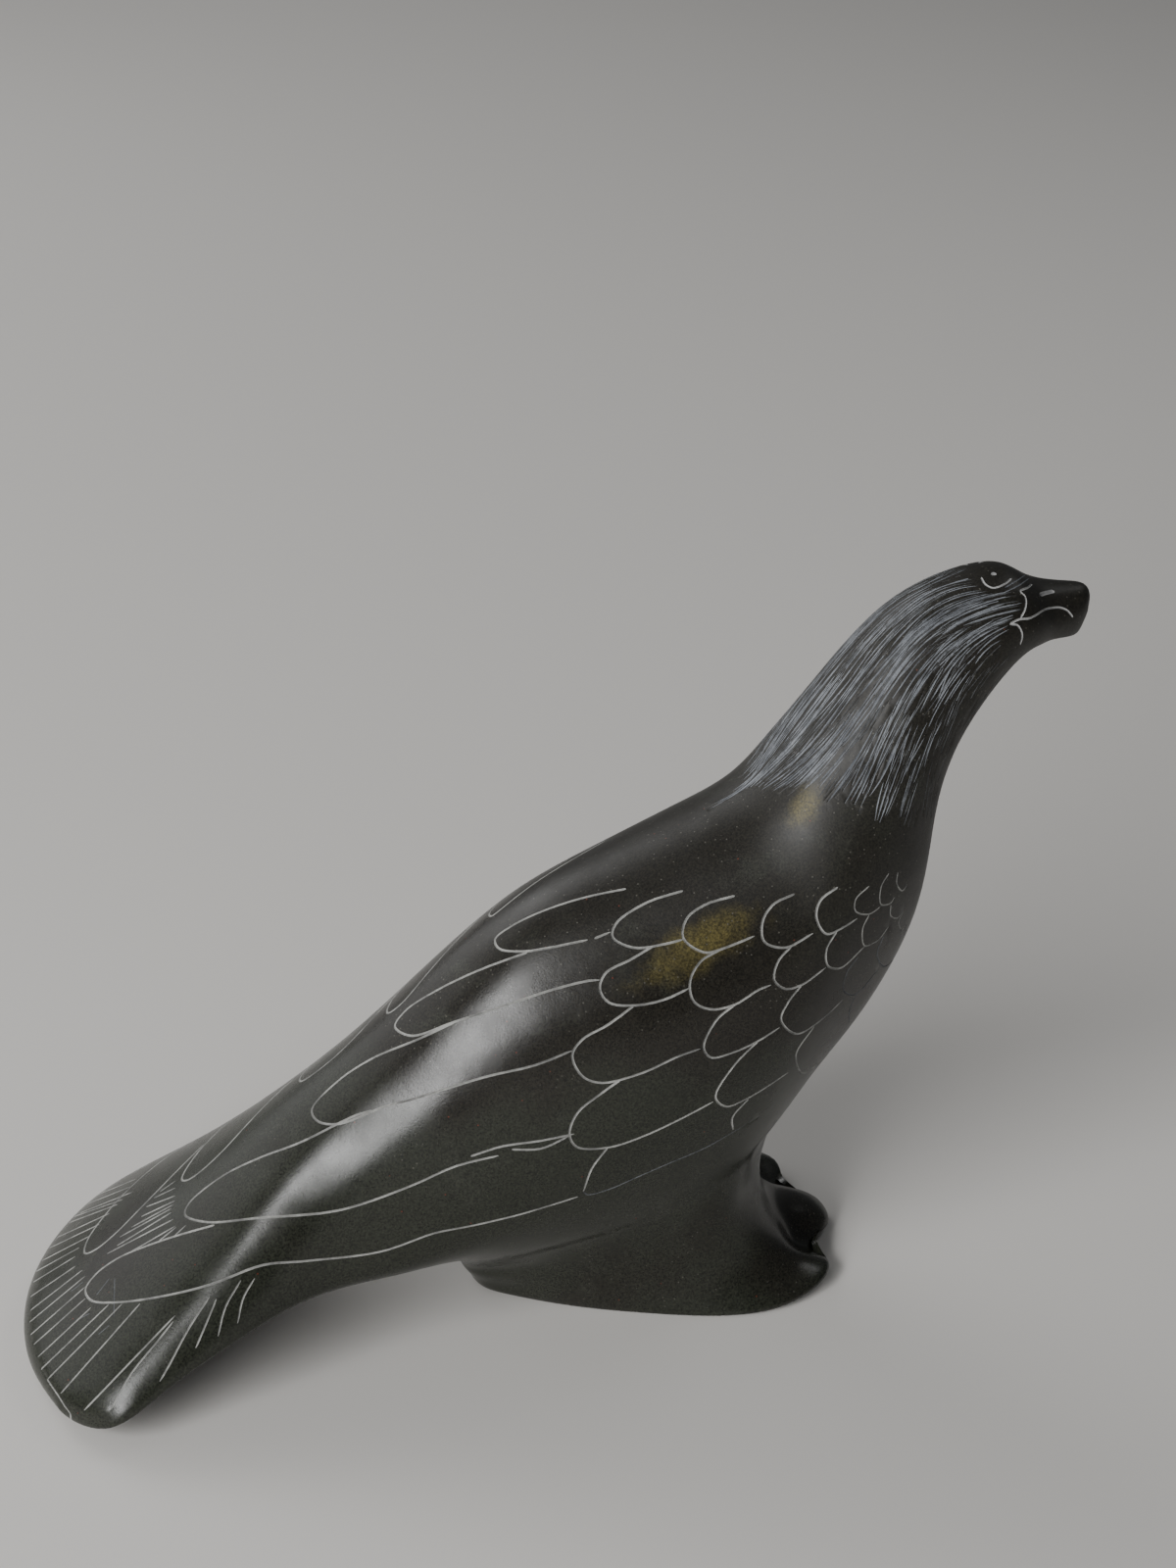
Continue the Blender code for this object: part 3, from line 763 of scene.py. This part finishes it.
class Cut:
    """One groove: its middle line on the skin, its width along it and its material."""

    def __init__(self, skin, path, width, kind, start_taper=TAPER, end_taper=TAPER):
        reach = way_along(skin.read(path)[0])
        count = max(2, int(reach[-1] / SAMPLE_STEP))
        even = np.linspace(0.0, reach[-1], count + 1)
        self.path = places_at(path, reach, even)
        self.spots, along, round_ = skin.read(self.path)
        self.kind = kind
        taper = np.minimum(np.minimum(even / start_taper, (reach[-1] - even) / end_taper), 1.0)
        self.half_width = width / 2 * np.sqrt(np.maximum(taper, 0.0))
        self.corners = self.kept_points()
        self.edges = self.edge_places(along, round_, skin)

    def kept_points(self):
        """The few samples that are enough to draw the line within the tolerance."""
        kept, start = [0], 0
        last = len(self.spots) - 1
        while start < last:
            end = start + 1
            while end < last and self.straight(start, end + 1):
                end += 1
            kept.append(end)
            start = end
        return kept

    def straight(self, start, end):
        """True if the samples between two of them lie close to the straight line."""
        a, b = self.spots[start], self.spots[end]
        length = np.linalg.norm(b - a)
        if length > LONGEST_STEP:
            return False
        share_along = np.linspace(0.0, 1.0, end - start + 1)[1:-1, None]
        off_line = np.linalg.norm(self.spots[start + 1:end] - a - (b - a) * share_along, axis=1)
        widths = self.half_width[start:end + 1]
        even = np.linspace(widths[0], widths[-1], len(widths))
        return off_line.max(initial=0.0) < BEND_TOLERANCE and \
            np.abs(widths - even).max() < BEND_TOLERANCE

    def edge_places(self, along, round_, skin):
        """The cut's two edges as places on the skin, beside each kept point."""
        index = np.array(self.corners)
        before, after = np.maximum(index - 1, 0), np.minimum(index + 1, len(self.spots) - 1)
        heading = self.spots[after] - self.spots[before]
        heading /= np.linalg.norm(heading, axis=1)[:, None]
        p_along, p_round = along[index], round_[index]
        sideways = np.cross(skin.normals(p_along, p_round), heading)
        sideways *= self.half_width[index][:, None]
        aa, ab, bb = ((x * y).sum(1) for x, y in ((p_along, p_along), (p_along, p_round),
                                                  (p_round, p_round)))
        sa, sb = (sideways * p_along).sum(1), (sideways * p_round).sum(1)
        area = aa * bb - ab * ab
        shift = np.stack(((sa * bb - sb * ab) / area, (sb * aa - sa * ab) / area), 1)
        return self.path[index] + shift, self.path[index] - shift


def flat(places):
    """Places on the skin as points of a flat picture, close to true size, in millimetres."""
    return places * (FLAT_RING * 1000, FLAT_SIDE * 1000)


def outline_walk():
    """The (row, column) grid points along the edge of the flattened skin, in order."""
    belly, edge = HALF * CELLS, EDGE_SIDE * CELLS
    rear, front, last = PLINTH_REAR_RING * CELLS, PLINTH_FRONT_RING * CELLS, LAST_RING * CELLS
    turns = ((0, -belly), (rear, -belly), (rear, -edge), (front, -edge), (front, -belly),
             (last, -belly), (last, belly), (front, belly), (front, edge), (rear, edge),
             (rear, belly), (0, belly), (0, -belly))
    walk = []
    for (row, column), (next_row, next_column) in zip(turns[:-1], turns[1:]):
        count = abs(next_row - row) + abs(next_column - column)
        for index in range(count):
            walk.append((row + (next_row - row) * index // count,
                         column + (next_column - column) * index // count))
    return walk


class Depths:
    """How deep the skin is cut at any point, and by which kind of line."""

    def __init__(self, cuts):
        self.widths = np.concatenate([cut.half_width for cut in cuts])
        self.kinds = np.concatenate([np.full(len(cut.half_width), cut.kind) for cut in cuts])
        spots = np.concatenate([cut.spots for cut in cuts])
        self.tree = KDTree(len(spots))
        for index, spot in enumerate(spots):
            self.tree.insert(spot, index)
        self.tree.balance()
        self.reach = float(self.widths.max())

    def at(self, spot):
        """(depth, kind) at a point of the uncut skin."""
        deepest, kind = 0.0, POLISHED
        for _, index, distance in self.tree.find_range(spot, self.reach):
            depth = CUT_SLOPE * (self.widths[index] - distance)
            if depth > deepest:
                deepest, kind = depth, int(self.kinds[index])
        return deepest, kind

    def clear(self, spot):
        """True if a point keeps its distance from every cut."""
        for _, index, distance in self.tree.find_range(spot, self.reach + CLEARANCE):
            if distance < self.widths[index] + CLEARANCE:
                return False
        return True


def plain_places(skin, walk, depths):
    """Places for the plain skin's points, off its outline and clear of every cut."""
    outline = set(walk)
    plain = [(row / CELLS, column / CELLS) for row in range(1, LAST_RING * CELLS)
             for column in range(1 - HALF * CELLS, HALF * CELLS)
             if (row, column) not in outline and in_skin(row / CELLS, column / CELLS)]
    spots, _, _ = skin.read(np.array(plain))
    return [place for place, spot in zip(plain, spots) if depths.clear(spot)]


def add_cut_lines(cuts, places, edges):
    """Adds every cut's middle line and its two edges to the places and to their edges."""
    for cut in cuts:
        start, last = len(places), len(cut.corners) - 1
        places += [tuple(place) for place in cut.path[cut.corners]]
        edges += [(start + index, start + index + 1) for index in range(last)]
        for side_places in cut.edges:
            chain = [start, *range(len(places), len(places) + last - 1), start + last]
            places += [tuple(place) for place in side_places[1:last]]
            edges += list(zip(chain[:-1], chain[1:]))


def meshed_skin(skin, cuts, depths, first_index):
    """New points, and triangles with their material, of the skin meshed along the cuts."""
    walk = outline_walk()
    known = [int(skin.vertex[row, column % skin.columns]) for row, column in walk]
    edges = [(index, (index + 1) % len(walk)) for index in range(len(walk))]
    places = [(row / CELLS, column / CELLS) for row, column in walk]
    places += plain_places(skin, walk, depths)
    add_cut_lines(cuts, places, edges)

    places = np.array(places)
    corners = [Vector(point) for point in flat(places)]
    met, _, faces, sources_of, _, _ = delaunay_2d_cdt(corners, edges, [], 0, MERGE_DISTANCE, True)
    met_places = np.array([tuple(point) for point in met]) / flat(np.ones((1, 2)))
    indices = np.full(len(met_places), -1)
    for index, sources in enumerate(sources_of):
        if sources:
            met_places[index] = places[sources[0]]
            outline = [source for source in sources if source < len(known)]
            if outline:
                indices[index] = known[outline[0]]
    spots, along, round_ = skin.read(met_places)
    normals = skin.normals(along, round_)
    new_points = []
    for index in np.flatnonzero(indices < 0):
        indices[index] = first_index + len(new_points)
        depth, _ = depths.at(spots[index])
        new_points.append(spots[index] - normals[index] * depth)

    triangles, kinds = [], []
    for a, b, c in faces:
        ring, side = (met_places[a] + met_places[b] + met_places[c]) / 3
        if in_skin(ring, side) and 0.0 < ring < LAST_RING and abs(side) < HALF:
            depth, kind = depths.at((spots[a] + spots[b] + spots[c]) / 3)
            triangles.append((indices[c], indices[b], indices[a]))
            kinds.append(kind if depth > SHALLOWEST else POLISHED)
    return new_points, triangles, kinds


def finish_faces(mesh, resting):
    """Joins the faces on the ground, and marks the cuts' rims and real corners as sharp."""
    block = bmesh.new()
    block.from_mesh(mesh)
    block.faces.ensure_lookup_table()
    ground = [block.faces[index] for index, rests in enumerate(resting) if rests]
    bmesh.ops.dissolve_faces(block, faces=ground)
    for edge in block.edges:
        kinds = {face.material_index for face in edge.link_faces}
        turned = len(edge.link_faces) == 2 and edge.calc_face_angle(0.0) > SHARP_ANGLE
        edge.smooth = len(kinds) == 1 and not turned
    for face in block.faces:
        face.smooth = True
    block.to_mesh(mesh)
    block.free()


def build_bird(fine, points, skin, cuts):
    """The carving as one closed mesh: the plain parts, and the skin with its cuts."""
    depths = Depths(cuts)
    new_points, triangles, kinds = meshed_skin(skin, cuts, depths, len(points))
    faces = [tuple(polygon.vertices) for polygon in fine.polygons
             if polygon.material_index == PLAIN]
    resting = [all(points[corner][2] < NEARLY_NOTHING for corner in face) for face in faces]
    materials = [POLISHED] * len(faces) + kinds
    faces += triangles
    every_point = np.concatenate((points, np.array(new_points)))
    used = sorted({corner for face in faces for corner in face})
    renumber = {old: new for new, old in enumerate(used)}
    mesh = bpy.data.meshes.new("stone_bird_skin")
    mesh.from_pydata([tuple(every_point[old]) for old in used], [],
                     [tuple(renumber[corner] for corner in face) for face in faces])
    mesh.polygons.foreach_set("material_index", materials)
    mesh.update()
    finish_faces(mesh, resting)
    return in_scene("carved_bird", mesh)


def face_cuts(skin):
    """The eye and the lines of the beak, on both sides of the head."""
    lines = [(pixels, FACE_WIDTH, FACE_CUT_AND_GLINT) for pixels in (CERE, MOUTH, JAW, EYE_ARC)]
    # The pupil's pale dot is a real cut whose brightness is also a painted glint.
    lines += [(NOSTRIL, NOSTRIL_WIDTH, FACE_CUT_AND_GLINT), (PUPIL, PUPIL_WIDTH, FACE_CUT_AND_GLINT)]
    lines += [(pixels, HAIR_WIDTH, HAIR_CUT) for pixels in BROW_STROKES]
    cuts = []
    for pixels, width, kind in lines:
        path = places_on_skin(skin, pixels)
        drift = (0.0, -FAR_EYE_DROP) if pixels in (EYE_ARC, PUPIL) else (0.0, 0.0)
        for side_path in (path, mirrored(path, drift)):
            cuts.append(Cut(skin, side_path, width, kind, SHORT_TAPER, SHORT_TAPER))
    return cuts


def wing_cuts(skin, chance):
    """The scallops and the long feathers of both wings, the far ones a little out of true."""
    cuts = []
    for pixels in FEATHERS + PRIMARIES:
        path = places_on_skin(skin, pixels)
        small = pixels[0][0] > SMALL_FROM_X
        width = FAINT_WIDTH if small else FEATHER_WIDTH
        kind = FAINT_CUT if small and pixels[0][1] > FAINT_FROM_Y else FEATHER_CUT
        cuts.append(Cut(skin, path, width, kind, SHORT_TAPER))
        drift = (chance.uniform(-FAR_WING_ALONG, FAR_WING_ALONG),
                 chance.uniform(-FAR_WING_ROUND, FAR_WING_ROUND))
        cuts.append(Cut(skin, mirrored(path, drift), width, kind, SHORT_TAPER))
    edge = places_on_skin(skin, WING_EDGE)
    for side_path in (edge, mirrored(edge)):
        cuts.append(Cut(skin, side_path, FAINT_WIDTH, FAINT_CUT, SHORT_TAPER, FADE_TAPER))
    return cuts


def tail_cuts(skin):
    """The fan of barbs on the tail, and a few scratches between them."""
    cuts = []
    for pixels in TAIL_STROKES:
        path = places_on_skin(skin, pixels)
        path = path[path[:, 0] > TAIL_RIM]
        cuts.append(Cut(skin, path, TAIL_WIDTH, FEATHER_CUT))
        if path[:, 1].min() > MIRRORED_FROM_SIDE:
            cuts.append(Cut(skin, mirrored(path), TAIL_WIDTH, FEATHER_CUT))
    for pixels in TAIL_SCRATCHES:
        path = places_on_skin(skin, pixels)
        cuts.append(Cut(skin, path, SCRATCH_WIDTH, FAINT_CUT, SHORT_TAPER, SHORT_TAPER))
    return cuts


def hair_guides(skin):
    """The guides in evenly spaced places, with one more beyond the nape and the throat."""
    lines = [np.linspace(*NAPE_GUIDE, GUIDE_POINTS)]
    lines += [places_on_skin(skin, pixels) for pixels in HAIR_GUIDES]
    lines.append(np.linspace(*THROAT_GUIDE, GUIDE_POINTS))
    guides = []
    for line in lines:
        reach = way_along(skin.read(line)[0])
        guides.append(places_at(line, reach, np.linspace(0.0, reach[-1], GUIDE_POINTS)))
    beyond_nape = guides[1] * (1, -1)
    beyond_throat = guides[-2] * (1, -1) + (0.0, SIDES)
    return np.array([beyond_nape, *guides, beyond_throat])


class Comb:
    """Draws the strokes of the head and neck between the guides."""

    def __init__(self, skin, chance):
        self.skin, self.chance = skin, chance
        self.guides = hair_guides(skin)
        self.numbers = np.arange(len(self.guides) - 2)
        self.across = np.linspace(0.0, self.numbers[-1], ACROSS_SAMPLES)
        crown = places_on_skin(skin, CROWN_EDGE)
        self.crown = crown[np.argsort(crown[:, 0])]

    def places(self, number, turn):
        """Places between the guides, by guide number and share of the way to the collar."""
        step = turn * (GUIDE_POINTS - 1)
        row = np.clip(np.floor(step).astype(int), 0, GUIDE_POINTS - 2)
        part = (step - row)[:, None]
        low = np.clip(np.floor(number).astype(int), 0, len(self.guides) - 4)
        weights, _ = cubic_weights(number - low)
        places = np.zeros((len(number), 2))
        for offset in range(4):
            upper, lower = self.guides[low + offset, row], self.guides[low + offset, row + 1]
            places += (upper * (1 - part) + lower * part) * weights[offset][:, None]
        return places

    def stroke(self, band, shift, spot, meeting, reach):
        """The places of one stroke of a band: it starts at a spot and leans to its lock's middle."""
        start = band + shift + self.chance.uniform(-STROKE_SHIFT, STROKE_SHIFT)
        end = start + self.chance.uniform(*STROKE_LENGTHS)
        last = 1 + (shift + self.chance.uniform(-COLLAR_SHIFT, COLLAR_SHIFT)) * COLLAR_RAGGED
        turn = np.linspace(0.0, 1.0, HAIR_POINTS)
        way = (start + (end - start) * turn) / HAIR_BANDS
        pull = np.interp(np.interp(spot, reach, self.across), self.numbers, LOCK_PULLS)
        drawn = spot + (meeting - spot) * pull * turn ** 2
        slant, bow = self.chance.gauss(0.0, HAIR_SLANT), self.chance.gauss(0.0, HAIR_BOW)
        drawn += slant * turn + bow * turn * (1 - turn)
        kept = (way > 0.0) & (way < last)
        path = self.places(np.interp(drawn, reach, self.across), way)[kept]
        crown_side = np.interp(path[:, 0], self.crown[:, 0], self.crown[:, 1])
        on_crown = (path[:, 0] > self.crown[0, 0]) & (path[:, 1] < crown_side)
        return path[~on_crown]

    def band_cuts(self, band, layer, flank, gap):
        """The strokes of one band on one flank, from the nape to the throat."""
        kind, layer_width, spacing, gaps = layer
        middle = np.full(ACROSS_SAMPLES, (band + 0.5) / HAIR_BANDS)
        reach = way_along(self.skin.read(self.places(self.across, middle))[0])
        cuts = []
        spot, lock_end = gap, gap
        while spot < reach[-1]:
            number = np.interp(spot, reach, self.across)
            if spot >= lock_end:
                lock_width = LOCK_WIDTH * self.chance.uniform(*LOCK_WIDTH_SHARES)
                meeting = spot + lock_width * self.chance.uniform(*LOCK_MIDDLES)
                lock_end = spot + lock_width
                shift = self.chance.uniform(-LOCK_SHIFT, LOCK_SHIFT)
            path = self.stroke(band, shift, spot, meeting, reach)
            faint = smooth_step(number - FAINT_GUIDE)
            skipped = self.chance.random() < gaps + (THROAT_GAPS - gaps) * faint
            long_enough = len(path) >= FEWEST_POINTS
            if long_enough and not skipped and path[:, 1].max() < HALF - SEAM_MARGIN:
                width = layer_width * self.chance.uniform(*STROKE_WIDTH_SHARES)
                width *= 1 - FAINT_NARROWING * faint
                cuts.append(Cut(self.skin, path * (1, flank), width,
                                FAINT_CUT if faint > 0.5 else kind, HAIR_TAPER, HAIR_TAPER))
            pitch = np.interp(number, self.numbers, HAIR_PITCHES) * spacing
            spot += pitch * self.chance.uniform(*PITCH_SHARES)
        return cuts


def hair_cuts(skin, chance):
    """The combed strokes of the head and neck: a fine faint layer, and stronger locks over it."""
    comb = Comb(skin, chance)
    cuts = []
    for layer in HAIR_LAYERS:
        for flank, gap in ((1, NEAR_NAPE_GAP), (-1, FAR_NAPE_GAP)):
            for band in range(HAIR_BANDS):
                cuts += comb.band_cuts(band, layer, flank, gap)
    return cuts


class NodeTree:
    """A material's nodes, made and joined in short steps."""

    def __init__(self, name):
        self.material = bpy.data.materials.new(name)
        self.material.use_nodes = True
        self.tree = self.material.node_tree
        self.place = self.node("TexCoord").outputs["Object"]

    def put(self, value, socket):
        """Joins a socket to a node's output, or sets it to a plain value."""
        if isinstance(value, bpy.types.NodeSocket):
            self.tree.links.new(value, socket)
        else:
            socket.default_value = value

    def fill(self, node, inputs):
        """Joins or sets a node's inputs by name, with _ for a blank in the name."""
        for name, value in inputs.items():
            self.put(value, node.inputs[name.replace("_", " ")])

    def node(self, kind, **inputs):
        """A new node with some of its inputs joined or set."""
        node = self.tree.nodes.new("ShaderNode" + kind)
        self.fill(node, inputs)
        return node

    def shade(self, **inputs):
        """Joins or sets inputs of the material's shader, and returns the material."""
        self.fill(self.tree.nodes["Principled BSDF"], inputs)
        return self.material

    def noise(self, scale, detail, roughness):
        """A soft noise between about 0.25 and 0.75."""
        return self.node("TexNoise", Scale=scale, Detail=detail, Roughness=roughness,
                         Vector=self.place).outputs["Fac"]

    def math(self, operation, first, second):
        """One sum, product or comparison."""
        node = self.node("Math")
        node.operation = operation
        self.put(first, node.inputs[0])
        self.put(second, node.inputs[1])
        return node.outputs[0]

    def spread(self, value, reach, shown=(0.0, 1.0)):
        """A smooth step from one shown value to the other, as the value runs through its reach."""
        node = self.node("MapRange", Value=value, From_Min=reach[0], From_Max=reach[1],
                         To_Min=shown[0], To_Max=shown[1])
        node.interpolation_type = "SMOOTHSTEP"
        return node.outputs["Result"]

    def mix(self, factor, first, second, blend_type="MIX"):
        """Two colours mixed by a factor."""
        node = self.node("Mix")
        node.data_type = "RGBA"
        node.blend_type = blend_type
        self.put(factor, node.inputs["Factor"])
        for name, colour in (("A", first), ("B", second)):
            socket = [one for one in node.inputs if one.name == name and one.type == "RGBA"][0]
            self.put(colour if isinstance(colour, bpy.types.NodeSocket) else (*colour, 1.0), socket)
        return [one for one in node.outputs if one.type == "RGBA"][0]

    def bump(self, noise, size, normal=None):
        """A normal bumped by a noise, on top of another normal."""
        distance, strength = size
        node = self.node("Bump", Distance=distance, Strength=strength, Height=self.noise(*noise))
        if normal:
            self.put(normal, node.inputs["Normal"])
        return node.outputs["Normal"]


def stain_mask(nodes, skin, start, end, half_width, ragged):
    """Where a stain between two pixels of the photograph lies, with a ragged edge."""
    first, last = (skin.read(np.array([skin.hit(*photo_ray(pixel))]))[0][0]
                   for pixel in (start, end))
    heading = Vector(last - first)
    mapping = nodes.node("Mapping", Vector=nodes.place, Location=tuple((first + last) / 2),
                         Rotation=heading.to_track_quat("X", "Z").to_euler(),
                         Scale=(heading.length / 2, half_width, half_width * 2))
    mapping.vector_type = "TEXTURE"
    length = nodes.node("VectorMath")
    length.operation = "LENGTH"
    nodes.put(mapping.outputs["Vector"], length.inputs[0])
    uneven = nodes.math("ADD", length.outputs["Value"], ragged)
    return nodes.spread(uneven, STAIN_FADE)


def polished_stone(skin):
    """Dark green-grey stone with brown shoulders, ochre stains and fine specks."""
    nodes = NodeTree("polished_stone")
    height = nodes.node("SeparateXYZ", Vector=nodes.place).outputs["Z"]
    upper = nodes.spread(height, BROWN_HEIGHTS, BROWN_GAIN)
    brown = nodes.spread(nodes.math("ADD", nodes.noise(*CLOUDS), upper), BROWN_FROM)
    colour = nodes.mix(brown, STONE_GREEN, STONE_BROWN)
    veins = nodes.spread(nodes.noise(*VEINS), VEINS_FROM, VEINS_SHOWN)
    colour = nodes.mix(veins, colour, STONE_LIGHT)
    ragged = nodes.spread(nodes.noise(*STAIN_EDGE), MOST_NOISE, STAIN_RAGGED)
    streaks = nodes.spread(nodes.noise(*STAIN_STREAKS), MOST_NOISE, STREAKS_SHOWN)
    for start, end, half_width in STAINS:
        stain = stain_mask(nodes, skin, start, end, half_width, ragged)
        colour = nodes.mix(nodes.math("MULTIPLY", stain, streaks), colour, OCHRE)
    grain = nodes.mix(nodes.spread(nodes.noise(*GRAIN), MOST_NOISE), DARK_GRAIN, LIGHT_GRAIN)
    colour = nodes.mix(1.0, colour, grain, "MULTIPLY")

    specks = nodes.node("TexVoronoi", Vector=nodes.place, Scale=SPECK_SCALE)
    drawn = nodes.node("SeparateColor", Color=specks.outputs["Color"])
    dot = nodes.spread(specks.outputs["Distance"], SPECK_EDGE)
    pale = nodes.math("GREATER_THAN", drawn.outputs["Red"], PALE_FROM)
    higher = nodes.spread(height, SPECK_HEIGHTS, SPECK_GAIN)
    crowds = nodes.math("ADD", nodes.noise(*SPECK_CROWDS), higher)
    crowds = nodes.spread(crowds, CROWDS_FROM, CROWDS_SHOWN)
    pale = nodes.math("MULTIPLY", nodes.math("MULTIPLY", dot, pale), crowds)
    colour = nodes.mix(pale, colour, SPECK_PALE)
    red = nodes.math("GREATER_THAN", drawn.outputs["Green"], RED_FROM)
    colour = nodes.mix(nodes.math("MULTIPLY", dot, red), colour, SPECK_RED)

    rubbed = nodes.spread(nodes.noise(*RUBBED), MOST_NOISE, POLISH_ROUGHNESS)
    matte = nodes.spread(height, MATTE_HEIGHTS, MATTE_GAIN)
    normal = None
    for noise, size in ((SWELLS, SWELL_BUMP), (RIPPLES, RIPPLE_BUMP), (GRAIN, GRAIN_BUMP)):
        normal = nodes.bump(noise, size, normal)
    return nodes.shade(Base_Color=colour, Roughness=nodes.math("ADD", rubbed, matte),
                       Specular_IOR_Level=POLISH_SHEEN, Normal=normal)


def cut_stone(name, dark, light):
    """The pale powdery stone inside a cut, cleaner in some stretches than in others."""
    nodes = NodeTree(name)
    clean = nodes.spread(nodes.noise(*CLEAN_STRETCHES), CLEAN_FROM)
    powder = nodes.spread(nodes.noise(*POWDER), MOST_NOISE, POWDER_SHOWN)
    colour = nodes.mix(nodes.math("MULTIPLY", clean, powder), dark, light)
    return nodes.shade(Base_Color=colour, Roughness=CUT_ROUGHNESS, Specular_IOR_Level=CUT_SHEEN,
                       Normal=nodes.bump(GRIT, GRIT_BUMP))


def add_floor():
    """A plain pale floor that reaches far behind the bird."""
    mesh = bpy.data.meshes.new("floor")
    corners = [(x * FLOOR_REACH, y * FLOOR_REACH, 0) for x, y in ((-1, -1), (1, -1), (1, 1), (-1, 1))]
    mesh.from_pydata(corners, [], [(0, 1, 2, 3)])
    floor = in_scene("floor", mesh)
    mesh.materials.append(NodeTree("pale_floor").shade(Base_Color=FLOOR_COLOUR,
                                                       Roughness=FLOOR_ROUGHNESS))


def add_camera():
    """The camera at the photograph's place."""
    data = bpy.data.cameras.new("camera")
    data.lens = LENS
    data.sensor_width = SENSOR
    data.sensor_fit = "AUTO"
    camera = in_scene("camera", data)
    camera.location = CAMERA_PLACE
    camera.rotation_euler = (CAMERA_TILT, 0.0, CAMERA_TURN)
    bpy.context.scene.camera = camera


def add_light(name, place, aim, size, power, roll):
    """A soft rectangular light that looks at a point, rolled about its line of sight."""
    data = bpy.data.lights.new(name, "AREA")
    data.shape = "RECTANGLE"
    data.size, data.size_y = size
    data.energy = power
    light = in_scene(name, data)
    light.location = place
    sight = Vector(aim) - Vector(place)
    turn = sight.to_track_quat("-Z", "Y") @ Quaternion((0.0, 0.0, 1.0), math.radians(roll))
    light.rotation_euler = turn.to_euler()


def add_lights():
    """A dim room, a slanting window strip low on the left, and weak broad panels behind."""
    world = bpy.data.worlds.new("room")
    world.use_nodes = True
    background = world.node_tree.nodes["Background"]
    background.inputs["Color"].default_value = ROOM_COLOUR
    background.inputs["Strength"].default_value = ROOM_STRENGTH
    bpy.context.scene.world = world
    for light in LIGHTS:
        add_light(*light)


chance = random.Random(SEED)
fine_mesh = smooth_mesh(build_cage())
fine_points = finished_points(fine_mesh)
body_skin = Skin(fine_mesh, fine_points)
all_cuts = (face_cuts(body_skin) + wing_cuts(body_skin, chance) + tail_cuts(body_skin)
            + hair_cuts(body_skin, chance))
bird = build_bird(fine_mesh, fine_points, body_skin, all_cuts)
bpy.data.meshes.remove(fine_mesh)
bird.data.materials.append(polished_stone(body_skin))
for name, dark, light in CUT_STONES:
    bird.data.materials.append(cut_stone(name, dark, light))
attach(bird, "root")
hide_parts("stone_bird")
add_floor()
add_camera()
add_lights()
